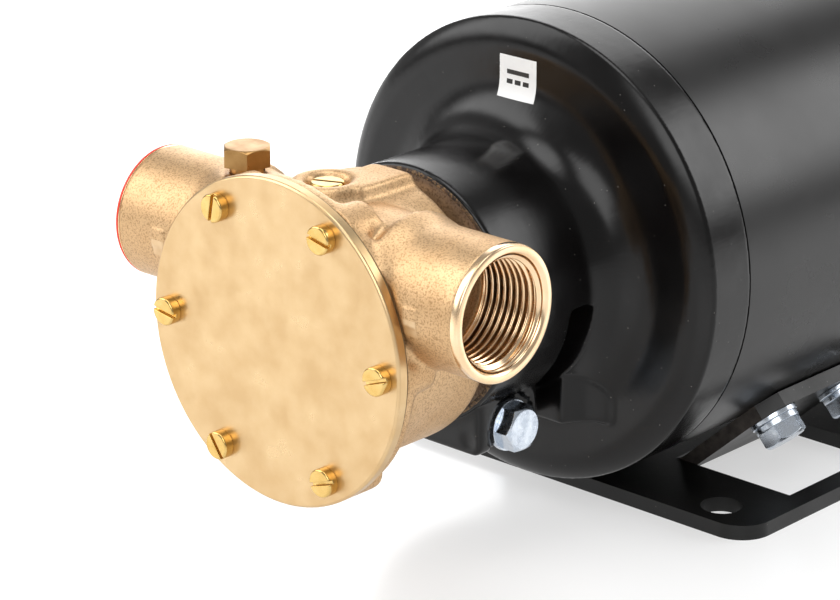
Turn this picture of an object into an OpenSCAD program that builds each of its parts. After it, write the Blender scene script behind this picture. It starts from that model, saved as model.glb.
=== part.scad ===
// Flexible impeller pump, close coupled to a direct current motor on a pressed base plate.
// The shaft runs along Y with the pump head towards -Y, and Z is up.
// The origin is the centre of the four base holes, on the underside of the base plate.

/* [End cover] */
// Diameter of the end cover
cover_d = 98; // [96:0.5:102]
// Thickness of the end cover
cover_t = 3.5; // [2.5:0.5:5]
// Thickness of the gasket behind the end cover
gasket_t = 0.8; // [0.4:0.1:1.5]
// Number of cover screws
cover_screws_n = 6; // [4:1:8]
// Pitch circle of the cover screws
cover_pcd = 84; // [82:0.5:86]
// Thread diameter of the cover screws
cover_screw_d = 5; // [4:0.5:6]
// Diameter of the cover screw heads
cover_head_d = 8.5; // [7.5:0.5:10]
// Height of the cover screw heads
cover_head_h = 3.3; // [2.5:0.1:4]

/* [Pump chamber] */
// Bore of the pump chamber
bore_d = 65; // [62:0.5:67]
// Length of the pump chamber
chamber_l = 37.4; // [35:0.2:38]
// Thickness of the wear plate behind the impeller
wear_t = 1.5; // [1:0.5:2]
// How far the cam stands into the chamber
cam_lift = 5.5; // [4:0.5:6]
// Half of the angle that the cam covers
cam_half_angle = 48; // [40:1:52]
// Number of impeller vanes
vanes_n = 12; // [8:1:12]
// Diameter of the rubber hub of the impeller
hub_d = 31; // [29:0.5:32]
// Thickness of a vane near its tip
vane_t = 2.4; // [1.8:0.1:2.8]
// Diameter of the bead along a vane's tip
bead_d = 4; // [3:0.2:4.4]

/* [Pump body] */
// Length of the pump body from its gasket face to its back
body_l = 43.6; // [43:0.2:48]
// Diameter of the body's front flange
flange_d = 96; // [94:0.5:97]
// Thickness of the body's front flange
flange_t = 4.7; // [3.5:0.1:6]
// Diameter of the body behind the flange
drum_d = 82.5; // [80:0.5:84]
// Diameter of the spigot that the motor's neck clamps
spigot_d = 63.5; // [61:0.5:65]
// Open gap between the body's back and the neck
neck_gap = 8.6; // [6:0.2:12]

/* [Ports] */
// Outside diameter of a port
port_d = 40; // [38:0.5:42]
// Distance from the shaft to a port's mouth
port_reach = 67.5; // [64:0.5:75]
// Height of the ports above the shaft
port_rise = 19.2; // [17:0.2:21]
// Bore of the port, at the root of its pipe thread
port_bore_d = 33.3; // [32:0.1:34]
// Depth of the threaded part of a port
port_thread_l = 24; // [18:0.5:26]
// Bore of the passage from the port to the chamber
passage_d = 23; // [18:0.5:24]

/* [Motor neck and bell] */
// Outside diameter of the neck
neck_d = 79.4; // [77:0.2:82]
// Length of the neck from its front to the bell's face
neck_l = 49.4; // [48:0.2:55]
// Depth of the neck's bore for the spigot
clamp_l = 26; // [22:0.5:27]
// Half of the width of the clamp foot under the neck
foot_half_w = 27; // [25:0.5:28]
// Distance from the shaft down to the foot's underside
foot_drop = 46; // [45:0.5:50]
// Length of the bell from its face to the seam
bell_l = 21; // [20:0.5:25]
// Radius of the bell's rounded rim
rim_r = 12.5; // [8:0.5:13]

/* [Motor] */
// Outside diameter of the motor tube
tube_d = 146; // [144:0.5:150]
// Wall of the motor tube
tube_wall = 6; // [5:0.5:7]
// Length of the motor tube
tube_l = 173; // [170:1:190]
// Length of the rear bell
rear_l = 26; // [25:0.5:30]
// Radial thickness of a magnet
magnet_t = 12; // [10:0.5:13]
// Number of magnets
magnets_n = 4; // [4:2:4]
// Air gap between the magnets and the armature
air_gap = 0.8; // [0.6:0.1:1.5]
// Length of the armature's laminated core
core_l = 72; // [60:1:76]
// Number of slots in the armature
slots_n = 20; // [12:2:24]
// Diameter of the commutator
comm_d = 48; // [44:1:52]
// Length of the commutator
comm_l = 30; // [28:0.5:31]

/* [Shaft and bearings] */
// Diameter of the shaft in the pump and the neck
shaft_d = 16; // [14:0.5:17]
// Bore of the front bearing
front_bore_d = 20; // [18:0.5:21]
// Outside diameter of the front bearing
front_race_d = 47; // [46:0.5:50]
// Width of the front bearing
front_race_w = 14; // [13:0.5:15]
// Bore of the rear bearing
rear_bore_d = 17; // [15:0.5:18]
// Outside diameter of the rear bearing
rear_race_d = 40; // [39:0.5:42]
// Width of the rear bearing
rear_race_w = 12; // [11:0.5:12.5]
// Number of balls in a bearing
balls_n = 8; // [6:1:8]

/* [Base plate] */
// Height of the motor tube's underside above the floor
tube_lift = 10.3; // [9:0.1:16]
// Length of the base plate
plate_l = 114; // [112:1:130]
// Thickness of the base plate
plate_t = 4.8; // [4:0.1:5]
// Corner radius of the base plate
plate_corner_r = 11; // [6:0.5:16]
// Distance from a base hole to the plate's side
hole_side = 18.3; // [16:0.1:20]
// Distance from a base hole to the plate's end
hole_end = 11; // [9:0.5:14]
// Diameter of the base holes
hole_d = 13; // [9:0.5:14]
// Angle of the bent tongues, from flat
tongue_angle = 42; // [40:0.5:45]
// Length of the tongues and windows along the plate
tongue_l = 51; // [48:0.5:56]
// Spacing of the two bolts in a tongue
foot_bolt_pitch = 35; // [30:0.5:36]
// Thread diameter of the foot bolts and the clamp bolt
bolt_d = 8; // [7:0.5:8.5]
// Width of their hexagons across flats
bolt_af = 13; // [12:0.5:14]

/* [Hidden] */
$fn = 96;

// One overrun for every cut
over = 1;
// Clearance of a part that sits fast in its seat
seat_fit = 0.02;
// Clearance of a part that slides or turns in its seat
run_fit = 0.05;
// Clearance of a screw in its thread
thread_fit = 0.05;
// Clearance of a bolt in a plain hole
hole_fit = 0.5;

// Stations along the shaft, from the base holes forward to the cover and back to the rear bell
seam_forward = 58.8;
seam_y = -seam_forward;
bell_face_y = seam_y - bell_l;
neck_y = bell_face_y - neck_l;
body_back_y = neck_y - neck_gap;
body_y = body_back_y - body_l;
gasket_y = body_y - gasket_t;
cover_y = gasket_y - cover_t;
chamber_end_y = body_y + chamber_l;
seal_y = chamber_end_y + wear_t;
tube_end_y = seam_y + tube_l;
rear_face_y = tube_end_y + rear_l;
port_y = body_y + chamber_l / 2;

// Radii that several pieces share
bore_r = bore_d / 2;
drum_r = drum_d / 2;
spigot_r = spigot_d / 2;
neck_r = neck_d / 2;
tube_r = tube_d / 2;
tube_bore_r = tube_r - tube_wall;
axis_h = tube_r + tube_lift;
port_r = port_d / 2;
port_bore_r = port_bore_d / 2;
shaft_r = shaft_d / 2;

// End cover
cover_edge = 0.6;
cover_slot_w = 1.1;
cover_slot_h = 1.4;
cover_screw_l = 14;
slot_turns = [-12, 20, 18, -55, -8, 80, 35, 60];

// Cam: a crescent between the bore and a flatter arc, whose centre lies cam_drop below the shaft
cam_reach = bore_r - cam_lift;
cam_drop = (bore_r ^ 2 - cam_reach ^ 2) / (2 * (cam_reach - bore_r * cos(cam_half_angle)));
cam_arc_r = cam_reach + cam_drop;
cam_side_fit = 0.15;

// Cam screw, sunk in a round boss on top of the body
cam_boss_r = 11;
cam_boss_top = 44;
cam_recess_d = 12.8;
cam_head_d = 10;
cam_head_h = 3;
cam_recess_h = 4;
cam_screw_d = 6;
cam_screw_gap = 0.4;

// Body casting
boss_r = 7.5;
boss_l = 12;
body_rim_r = 3;
ridge_w = 15;
ridge_x = 5.4;
ridge_top = 43.4;
ridge_end_r = 4;
port_root_r = 22.5;
port_root_l = 9;
port_edge = 0.8;
mouth_edge = 1;
pad_w = 5;
pad_rise = 0.3;
pad_out = 8.75;

// Priming plug on the crown of the left port
plug_x = -32.4;
plug_af = 13.4;
plug_head_h = 5.8;
plug_neck_d = 10.4;
plug_neck_h = 2;
plug_thread_d = 9.7;
plug_thread_l = 7;
plug_edge = 0.8;

// Shaft seals, from the wear plate back
seal_l = 23;
seal_r = 15.5;
seat_t = 6;
seat_r = 12.5;
seal_head_t = 4;
seal_head_r = 12;
seal_gap = 0.05;
bellows_l = 6;
bellows_r = 12.6;
collar_t = 1;
collar_r = 13;
wear_hole_r = 14;
spring_wire_d = 1.4;
spring_turns = 3;
seal_web_t = 4;
lip_l = 7;
lip_r = 13;
shaft_gap = 1.5;
spigot_l = 32.4;

// Impeller
impeller_side_fit = 0.2;
impeller_tip_fit = 0.08;
vane_free_over = 0.6;
vane_root_t = 4.4;
vane_steps = 12;
vane_turn_max = 170;
vane_turn_tries = 24;
insert_d = 25;
insert_ribs_n = 12;
insert_rib = 0.8;
key_w = 5;
key_h = 5;
key_l = 20;
key_sink = 3;
shaft_front_back = 3;

// Slinger
slinger_r = 15;
slinger_t = 4;
slinger_lip = 1.2;
slinger_back = 33;

// The bell's rim: a rounding that meets the tube's line at a small edge
rim_edge_r = 1;
rim_turn = 45;
rim_steps = 8;
rim_centre_r = tube_r - rim_edge_r - (rim_r - rim_edge_r) * cos(rim_turn);
rim_back = rim_r - (rim_r - rim_edge_r) * sin(rim_turn);

// Neck and clamp foot, filleted into the bell's face
neck_edge = 0.9;
neck_fillet_share = 0.66;
neck_fillet = (rim_centre_r - neck_r) * neck_fillet_share;
neck_cavity_r = 30.5;
foot_front_back = 1.8;
foot_corner_r = 3;
foot_mark_in = 4.5;
foot_mark_r = 2.8;
foot_mark_depth = 0.5;
slit_w = 3;
window_forward = 11.2;
window_l = 10;
window_top = 3.4;
window_web_w = 16;
window_past = 9;
clamp_drop = 40;
clamp_back = 17.4;
clamp_head_turn = 30;
clamp_spot_d = 20;
clamp_spot_depth = 2.8;
clamp_washer_d = 16;
clamp_washer_t = 1.6;
clamp_bolt_l = 42;
head_h = 5.3;
head_edge = 0.9;

// Front bell behind its face
bell_wall = 7;
bell_hub_r = 29.5;
bell_pocket_back = 7;
bell_inner_back = 8;
register_l = 6;
register_wall = 5;
tie_hole_back = 10.8;
tie_d = 6;
tie_r = tube_bore_r - tie_d;
tie_boss_r = 6.5;
tie_head_af = 10;
tie_head_h = 4;
tie_head_spot_r = 8;
tie_seat_forward = 7;

// Bearings
front_bearing_y = bell_face_y + bell_pocket_back;
front_pitch_r = (front_bore_d + front_race_d) / 4;
front_ball_d = 7.9;
rear_bearing_back = 8;
rear_bearing_y = tube_end_y + rear_bearing_back;
rear_pitch_r = (rear_bore_d + rear_race_d) / 4;
rear_ball_d = 6.7;
ball_fit = 0.05;
cage_t = 1.6;
cage_w = 9;
cage_pocket_fit = 0.25;
race_edge = 0.6;
front_land = 3.2;
rear_land = 2.6;
wave_edge = 0.5;
wave_gap = 1.2;

// Armature, from the front end turns back
core_back = 34.8;
core_y = seam_y + core_back;
core_r = tube_bore_r - magnet_t - air_gap;
core_bore_r = 13;
end_turn_l = 20;
end_turn_in = 22;
slot_r = 4.2;
slot_mouth_w = 3;
slot_sink = 1.6;
wire_fit = 0.3;
comm_back = 8;
comm_y = core_y + core_l + end_turn_l + comm_back;
comm_slot_w = 0.8;
comm_slot_h = 2;
comm_bore_r = 10.4;
magnet_tie_gap = 4.65;
magnet_in_r = tube_bore_r - magnet_t;
magnet_span = 360 / magnets_n - 2 * asin((tie_d / 2 + magnet_tie_gap) / magnet_in_r);
magnet_over = 6;

// Brush gear, hung from a ring against the rear bell's register
brush_plate_t = 3;
brush_plate_y = tube_end_y - register_l - brush_plate_t;
brush_plate_in = 28.5;
brush_w = 10;
brush_l = 14;
brush_h = 20;
brush_fit = 0.1;
brush_back = 3;
brushes_n = 4;
holder_wall = 1.2;
holder_gap = 1.5;
holder_h = 26;
brush_spring_d = 7;
brush_wire_d = 1;
brush_spring_turns = 3;

// Rear bell
rear_rim_r = 12;
rear_wall = 6;
rear_pocket_wall = 5;
rear_dish = 2.5;
rear_dish_slope = 3;
rear_dish_edge = 24;
rear_ribs_n = 6;
rear_rib_w = 5;
grommet_r = 7.5;
grommet_bore_r = 3.5;
grommet_lip = 2;
grommet_lip_t = 2;
grommet_forward = 18;

// Base plate, as wide as the motor tube
plate_w = tube_d;
hole_pitch_x = plate_w - 2 * hole_side;
hole_pitch_y = plate_l - 2 * hole_end;
window_edge = 7.5;
window_out_x = plate_w / 2 - window_edge;
tongue_bend_r = 5;
tongue_chamfer = 6;
tongue_past_bolt = 8.5;
plate_z = plate_t - axis_h;
bend_x = (tube_r - tongue_bend_r + (plate_z + tongue_bend_r) * cos(tongue_angle)) / sin(tongue_angle);
washer_d = 16;
washer_t = 1.6;
spring_washer_d = 14.8;
spring_washer_t = 2;
foot_thread_l = tube_wall - 1.2;

// Label on the bell's face, and the red plug in the left port
label_w = 14.5;
label_h_share = 0.39;
label_h = (tube_r - neck_r) * label_h_share;
label_t = 0.12;
label_x = -0.4;
label_in_share = 0.53;
label_in = (tube_r - neck_r) * label_in_share;
cap_flange_r = 20;
cap_flange_t = 0.6;
cap_l = 10;
cap_wall = 1.5;

bronze = [0.80, 0.60, 0.36];
bright_bronze = [0.90, 0.74, 0.48];
brass = [0.85, 0.66, 0.33];
enamel = [0.05, 0.05, 0.05];
zinc = [0.72, 0.74, 0.76];
steel = [0.60, 0.61, 0.63];
rubber = [0.07, 0.07, 0.08];

// Points of an arc about a centre, from one angle to another
function arc_points(centre, r, from, to, steps = 8) =
    [for (i = [0:steps]) let (a = from + (to - from) * i / steps) centre + r * [cos(a), sin(a)]];

// A point at a radius and an angle from the top, seen from the front
function clock(r, a) = [r * sin(a), r * cos(a)];

// Places children on the shaft's line at a station along it
module at(y) {
    translate([0, y, axis_h]) children();
}

// A solid turned about the shaft from an outline of [radius, station] points
module turned(outline) {
    at(0) rotate([-90, 0, 0]) rotate_extrude() polygon(outline);
}

// A plain round bar or hole along the shaft between two stations
module rod(from, to, r) {
    at(from) rotate([-90, 0, 0]) cylinder(h = to - from, r = r);
}

// A plain ring along the shaft between two stations
module ring(from, to, inner, outer) {
    turned([[inner, from], [outer, from], [outer, to], [inner, to]]);
}

// A flat drawing, seen from the front with Z up, given thickness between two stations
module slab(from, to) {
    at(to) rotate([90, 0, 0]) linear_extrude(to - from) children();
}

// Copies of children spaced evenly about the shaft, each with its own +Z outwards
module around(count, start = 0) {
    at(0) for (i = [0:count - 1]) rotate([0, start + i * 360 / count, 0]) children();
}

// A bar along X at a station and height, between two distances from the shaft
module cross_rod(from, to, y, z, r) {
    translate([from, y, axis_h + z]) rotate([0, 90, 0]) cylinder(h = to - from, r = r);
}

// A hexagon bar standing on z = 0, with its top edges chamfered
module hex_head(af, h, edge) {
    corner_r = af / sqrt(3);
    intersection() {
        cylinder(h = h, r = corner_r, $fn = 6);
        union() {
            cylinder(h = h - edge, r = corner_r + over);
            translate([0, 0, h - edge]) cylinder(h = edge, r1 = corner_r, r2 = af / 2 - edge / 2);
        }
    }
}

// A slotted cheese head standing on z = 0
module slotted_head(d, h, slot_w, slot_h, edge) {
    difference() {
        rotate_extrude() polygon(concat(
            [[0, 0], [d / 2, 0]],
            arc_points([d / 2 - edge, h - edge], edge, 0, 90, 4),
            [[0, h]]
        ));
        translate([-d / 2 - over, -slot_w / 2, h - slot_h]) cube([d + 2 * over, slot_w, slot_h + over]);
    }
}

// Seats children on the front of the cover at each screw, with +Z towards the viewer
module at_cover_screws() {
    for (i = [0:cover_screws_n - 1]) {
        place = clock(cover_pcd / 2, 360 * (i + 1 / 2) / cover_screws_n);
        translate([place[0], cover_y, axis_h + place[1]])
            rotate([90, 0, 0])
            rotate([0, 0, slot_turns[i % len(slot_turns)]])
            children();
    }
}

// Holes for the cover screws between two stations
module cover_holes(from, to, d) {
    for (i = [0:cover_screws_n - 1]) {
        place = clock(cover_pcd / 2, 360 * (i + 1 / 2) / cover_screws_n);
        translate([place[0], from, axis_h + place[1]]) rotate([-90, 0, 0]) cylinder(h = to - from, d = d);
    }
}

module end_cover() {
    cover_r = cover_d / 2;
    color(bright_bronze) difference() {
        turned([
            [0, cover_y], [cover_r - cover_edge, cover_y], [cover_r, cover_y + cover_edge],
            [cover_r, gasket_y], [0, gasket_y]
        ]);
        cover_holes(cover_y - over, gasket_y + over, cover_screw_d + hole_fit);
    }
}

module cover_screws() {
    color(brass) at_cover_screws() {
        slotted_head(cover_head_d, cover_head_h, cover_slot_w, cover_slot_h, cover_edge);
        translate([0, 0, -cover_screw_l]) cylinder(h = cover_screw_l, d = cover_screw_d);
    }
}

module cover_gasket() {
    color([0.45, 0.40, 0.30]) difference() {
        ring(gasket_y, body_y, bore_r, cover_d / 2 - cover_edge);
        cover_holes(gasket_y - over, body_y + over, cover_screw_d + hole_fit);
    }
}

// The outside of the body casting before anything is bored
module body_casting() {
    rim_y = body_back_y - body_rim_r;
    spigot_end_y = body_back_y + spigot_l;
    union() {
        turned(concat(
            [[0, body_y], [flange_d / 2, body_y], [flange_d / 2, body_y + flange_t],
             [drum_r, body_y + flange_t]],
            arc_points([drum_r - body_rim_r, rim_y], body_rim_r, 0, 90),
            [[spigot_r, body_back_y], [spigot_r, spigot_end_y - cover_edge],
             [spigot_r - cover_edge, spigot_end_y], [0, spigot_end_y]]
        ));
        intersection() {
            cover_holes(body_y, body_y + boss_l, 2 * boss_r);
            rod(body_y, body_y + boss_l, cover_d / 2);
        }
        for (side = [-1, 1]) {
            port_casting(side);
            port_pad(side);
        }
        translate([0, port_y, axis_h]) cylinder(h = cam_boss_top, r = cam_boss_r);
        body_ridge();
    }
}

// One port's outside, with a wider root against the drum
module port_casting(side) {
    root_x = drum_r - port_root_l;
    translate([0, port_y, axis_h + port_rise]) rotate([0, side * 90, 0]) {
        cylinder(h = port_reach - port_edge, r = port_r);
        translate([0, 0, port_reach - port_edge])
            cylinder(h = port_edge, r1 = port_r, r2 = port_r - port_edge);
        translate([0, 0, root_x]) cylinder(h = port_root_l, r1 = port_root_r, r2 = port_r);
    }
}

// A small flat pad on the front of a port near its root
module port_pad(side) {
    translate([
        side * (drum_r + pad_out) - pad_w / 2, port_y - port_r - pad_rise, axis_h + port_rise - pad_w / 2
    ]) cube([pad_w, port_r, pad_w]);
}

// The low ridge along the top of the body, rounded down at the back
module body_ridge() {
    ridge_l = body_back_y - port_y - over;
    translate([ridge_x - ridge_w / 2, port_y, axis_h]) rotate([90, 0, 90])
        linear_extrude(ridge_w)
        polygon(concat(
            [[0, 0], [ridge_l, 0]],
            arc_points([ridge_l - ridge_end_r, ridge_top - ridge_end_r], ridge_end_r, 0, 90),
            [[0, ridge_top]]
        ));
}

module pump_body() {
    spigot_end_y = body_back_y + spigot_l;
    seal_end_y = seal_y + seal_l;
    color(bronze) difference() {
        body_casting();
        rod(cover_y - over, body_y, cover_d / 2 + cover_edge);
        rod(body_y - over, seal_y, bore_r);
        rod(seal_y - over, seal_end_y, seal_r);
        rod(seal_end_y - over, seal_end_y + seal_web_t + over, shaft_r + shaft_gap);
        rod(seal_end_y + seal_web_t, spigot_end_y + over, lip_r);
        cover_holes(body_y - over, body_y + cover_screw_l - cover_t, cover_screw_d + 2 * thread_fit);
        for (side = [-1, 1]) port_cut(side);
        translate([0, port_y, axis_h + cam_boss_top - cam_recess_h]) {
            cylinder(h = cam_recess_h + over, d = cam_recess_d);
            translate([0, 0, -cam_boss_top + cam_recess_h + bore_r - over])
                cylinder(h = cam_boss_top, d = cam_screw_d + cam_screw_gap);
        }
        translate([plug_x, port_y, axis_h + port_rise]) {
            cylinder(h = port_r + over, d = plug_thread_d + 2 * thread_fit);
            translate([0, 0, port_r]) cylinder(h = port_r, r = plug_af / sqrt(3) + plug_edge);
        }
    }
}

// The bore, its threaded length and the passage of one port
module port_cut(side) {
    shoulder_x = port_reach - port_thread_l;
    passage_x = sqrt(bore_r ^ 2 - (port_rise - passage_d / 2) ^ 2) / 2;
    translate([0, port_y, axis_h + port_rise]) rotate([0, side * 90, 0]) {
        translate([0, 0, passage_x]) cylinder(h = shoulder_x - passage_x + over, d = passage_d);
        translate([0, 0, shoulder_x]) cylinder(h = port_thread_l + over, r = port_bore_r);
        translate([0, 0, port_reach - mouth_edge])
            cylinder(h = mouth_edge, r1 = port_bore_r, r2 = port_bore_r + mouth_edge);
    }
}

// The cam's drawing: inside the bore and above the flatter arc
module cam() {
    color(bronze) difference() {
        slab(body_y + cam_side_fit, chamber_end_y - cam_side_fit) difference() {
            circle(r = bore_r - seat_fit);
            translate([0, -cam_drop]) circle(r = cam_arc_r);
        }
        translate([0, port_y, axis_h + cam_reach + cam_lift / 4])
            cylinder(h = bore_r, d = cam_screw_d + 2 * thread_fit);
    }
}

module cam_screw() {
    head_z = cam_boss_top - cam_recess_h;
    tip_z = cam_reach + cam_lift / 4;
    color(brass) translate([0, port_y, axis_h]) {
        translate([0, 0, head_z]) rotate([0, 0, cam_half_angle / 2])
            slotted_head(cam_head_d, cam_head_h, cover_slot_w, cover_slot_h, cover_edge);
        translate([0, 0, tip_z]) cylinder(h = head_z - tip_z, d = cam_screw_d);
    }
}

module priming_plug() {
    crown_z = port_rise + port_r;
    color(brass) translate([plug_x, port_y, axis_h + crown_z]) {
        translate([0, 0, -plug_thread_l]) cylinder(h = plug_thread_l, d = plug_thread_d);
        cylinder(h = plug_neck_h, d = plug_neck_d);
        translate([0, 0, plug_neck_h]) rotate([0, 0, 360 / 24]) hex_head(plug_af, plug_head_h, plug_edge);
    }
}

module wear_plate() {
    color(steel) ring(chamber_end_y, seal_y, wear_hole_r, bore_r - seat_fit);
}

// A vane's middle line, standing on the hub at the top: an arc of a given length and total turn
vane_l = bore_r + vane_free_over - hub_d / 2 - bead_d / 2;
function vane_point(share, turn) =
    let (r = vane_l * 180 / (PI * turn))
    [-(1 - cos(turn * share)) * r, hub_d / 2 + sin(turn * share) * r];

// A point turned about the shaft by an angle, clockwise seen from the front
function turned_point(p, a) = [p[0] * cos(a) + p[1] * sin(a), -p[0] * sin(a) + p[1] * cos(a)];

// Whether the bead of a vane at an angle stays inside both the bore and the cam's arc
function bead_fits(a, turn) =
    let (tip = turned_point(vane_point(1, turn), a), margin = bead_d / 2 + impeller_tip_fit)
    norm(tip) <= bore_r - margin && norm(tip + [0, cam_drop]) <= cam_arc_r - margin;

// The least turn that brings a vane's bead inside the chamber, found by halving
function vane_turn(a, low = 1, high = vane_turn_max, tries = vane_turn_tries) =
    tries == 0
        ? high
        : let (middle = (low + high) / 2)
          bead_fits(a, middle)
              ? vane_turn(a, low, middle, tries - 1)
              : vane_turn(a, middle, high, tries - 1);

// Half of a vane's thickness along its length
function vane_half(share) = (vane_t + (vane_root_t - vane_t) * (1 - share) ^ 2) / 2;

// One vane bent by the wall at its angle, trailing anticlockwise seen from the front
module vane(a) {
    turn = vane_turn(a);
    rotate(-a) {
        polygon([for (side = [-1, 1]) for (i = [0:vane_steps])
            let (s = (side < 0 ? i : vane_steps - i) / vane_steps)
            vane_point(s, turn) + side * vane_half(s) * [cos(turn * s), sin(turn * s)]]);
        translate(vane_point(1, turn)) circle(d = bead_d, $fn = 24);
    }
}

module impeller() {
    from = body_y + impeller_side_fit;
    to = chamber_end_y - impeller_side_fit;
    color(rubber) slab(from, to) difference() {
        union() {
            circle(d = hub_d);
            for (i = [0:vanes_n - 1]) vane(360 * i / vanes_n);
        }
        insert_outline(seat_fit);
    }
}

// The toothed outside of the brass insert, grown by a clearance
module insert_outline(grow) {
    circle(d = insert_d + 2 * grow);
    for (i = [0:insert_ribs_n - 1])
        rotate(360 * i / insert_ribs_n)
            translate([0, insert_d / 2])
            square([insert_rib * 2 + 2 * grow, insert_rib * 2 + 2 * grow], center = true);
}

module impeller_insert() {
    color(brass) slab(body_y + impeller_side_fit, chamber_end_y - impeller_side_fit) difference() {
        insert_outline(0);
        circle(r = shaft_r + seat_fit);
        translate([-key_w / 2 - seat_fit, 0])
            square([key_w + 2 * seat_fit, shaft_r + key_h - key_sink + seat_fit]);
    }
}

module drive_key() {
    color(steel) slab(port_y - key_l / 2, port_y + key_l / 2)
        translate([-key_w / 2, shaft_r - key_sink]) square([key_w, key_h]);
}

module seal_seat() {
    end_y = seal_y + seal_l;
    color([0.92, 0.91, 0.88]) ring(end_y - seat_t, end_y, shaft_r + shaft_gap, seat_r);
}

module seat_cup() {
    end_y = seal_y + seal_l;
    color(rubber) ring(end_y - seat_t, end_y, seat_r + seat_fit, seal_r - seat_fit);
}

module seal_head() {
    face_y = seal_y + seal_l - seat_t - seal_gap;
    color([0.16, 0.16, 0.17]) ring(face_y - seal_head_t, face_y, shaft_r + shaft_gap / 2, seal_head_r);
}

module seal_bellows() {
    end_y = seal_y + seal_l - seat_t - seal_gap - seal_head_t;
    color(rubber) turned([
        [shaft_r + seat_fit, end_y - bellows_l], [bellows_r - collar_t, end_y - bellows_l],
        [bellows_r, end_y - bellows_l / 2], [bellows_r - collar_t, end_y], [shaft_r + seat_fit, end_y]
    ]);
}

module seal_collar() {
    color(steel) ring(seal_y, seal_y + collar_t, shaft_r + seat_fit, collar_r);
}

// A round wire wound about the local Z, its turns sharing the height evenly
module coil(r, wire_d, turns, h) {
    steps = 16;
    sides = 6;
    wire_r = wire_d / 2;
    rise = h - wire_d;
    rings = turns * steps;
    points = [for (i = [0:rings]) for (k = [0:sides - 1])
        let (a = 360 * i / steps, b = 360 * k / sides, out = r + wire_r * cos(b))
        [out * cos(a), out * sin(a), wire_r + rise * i / rings + wire_r * sin(b)]];
    caps = [[for (k = [0:sides - 1]) k], [for (k = [sides - 1:-1:0]) rings * sides + k]];
    walls = [for (i = [0:rings - 1]) for (k = [0:sides - 1])
        let (a = i * sides + k, b = i * sides + (k + 1) % sides)
        each [[a, a + sides, b], [b, a + sides, b + sides]]];
    polyhedron(points, concat(caps, walls));
}

module seal_spring() {
    from = seal_y + collar_t;
    to = seal_y + seal_l - seat_t - seal_gap - seal_head_t - bellows_l;
    color(steel) at(from) rotate([-90, 0, 0])
        coil((shaft_r + collar_r) / 2, spring_wire_d, spring_turns, to - from);
}

module lip_seal() {
    from = seal_y + seal_l + seal_web_t;
    color(rubber) turned([
        [shaft_r + run_fit, from + lip_l / 3], [shaft_r + shaft_gap, from], [lip_r - seat_fit, from],
        [lip_r - seat_fit, from + lip_l],
        [shaft_r + 2 * shaft_gap, from + lip_l], [shaft_r + run_fit, from + lip_l / 2]
    ]);
}

module slinger() {
    from = neck_y + slinger_back;
    color(rubber) turned([
        [shaft_r + seat_fit, from], [slinger_r - slinger_lip, from], [slinger_r, from + slinger_lip],
        [slinger_r - slinger_lip, from + 2 * slinger_lip],
        [shaft_r + 2 * slinger_lip, from + 2 * slinger_lip],
        [shaft_r + 2 * slinger_lip, from + slinger_t], [shaft_r + seat_fit, from + slinger_t]
    ]);
}

// The outside of the neck and bell as a turned outline, closed along the shaft
function bell_outline() = concat(
    [[0, neck_y], [neck_r - neck_edge, neck_y], [neck_r, neck_y + neck_edge]],
    arc_points([neck_r + neck_fillet, bell_face_y - neck_fillet], neck_fillet, 180, 90),
    arc_points([rim_centre_r, bell_face_y + rim_r], rim_r, -90, -rim_turn),
    [for (i = [1:rim_steps]) let (a = rim_turn * (i / rim_steps - 1))
        [tube_r - rim_edge_r + rim_edge_r * cos(a), bell_face_y + rim_back + rim_edge_r * sin(a)]],
    [[tube_r, seam_y], [tube_bore_r - run_fit, seam_y],
     [tube_bore_r - run_fit, seam_y + register_l], [0, seam_y + register_l]]
);

// The clamp foot under the neck, from just behind the neck's front to the bell's face
module clamp_foot() {
    slab(neck_y + foot_front_back, bell_face_y + bell_wall) {
        translate([-foot_half_w, -foot_drop + foot_corner_r])
            square([2 * foot_half_w, foot_drop - foot_corner_r]);
        translate([-foot_half_w + foot_corner_r, -foot_drop])
            square([2 * (foot_half_w - foot_corner_r), foot_drop]);
        for (side = [-1, 1])
            translate([side * (foot_half_w - foot_corner_r), -foot_drop + foot_corner_r])
            circle(r = foot_corner_r);
    }
    for (side = [0, 1]) mirror([side, 0, 0]) foot_flare();
}

// The fillet from one side of the foot into the bell's face
module foot_flare() {
    translate([0, 0, axis_h - foot_drop]) linear_extrude(foot_drop) polygon(concat(
        [[0, bell_face_y + over], [0, bell_face_y - neck_fillet]],
        arc_points([foot_half_w + neck_fillet, bell_face_y - neck_fillet], neck_fillet, 180, 90),
        [[foot_half_w + neck_fillet, bell_face_y + over]]
    ));
}

// The hollow of the bell behind its front wall, left solid at the bearing hub and the tie bosses
module bell_hollow() {
    inner_y = bell_face_y + bell_inner_back;
    deep_y = bell_face_y + rim_back + bell_wall;
    difference() {
        turned([
            [bell_hub_r, inner_y], [rim_centre_r - bell_wall, inner_y],
            [tube_bore_r - register_wall, deep_y], [tube_bore_r - register_wall, seam_y + register_l + over],
            [0, seam_y + register_l + over], [0, front_bearing_y + front_race_w],
            [bell_hub_r, front_bearing_y + front_race_w]
        ]);
        for (side = [-1, 1])
            translate([0, inner_y, axis_h + side * tie_r]) rotate([-90, 0, 0])
                cylinder(h = seam_y + register_l - inner_y, r = tie_boss_r);
    }
}

// The drain windows on both sides of the neck below the shaft, with a web left between them
module drain_windows() {
    pocket_r = neck_r + window_past;
    pocket_x = foot_half_w + window_past;
    front_y = bell_face_y - window_forward - window_l;
    slab(front_y, front_y + window_l) difference() {
        union() {
            circle(r = pocket_r);
            translate([-pocket_x, -foot_drop - over]) square([2 * pocket_x, foot_drop + over]);
        }
        translate([-pocket_r - over, -window_top])
            square([2 * (pocket_r + over), pocket_r + window_top + over]);
        translate([-window_web_w, -pocket_r - over]) square([2 * window_web_w, pocket_r + over]);
    }
}

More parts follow.
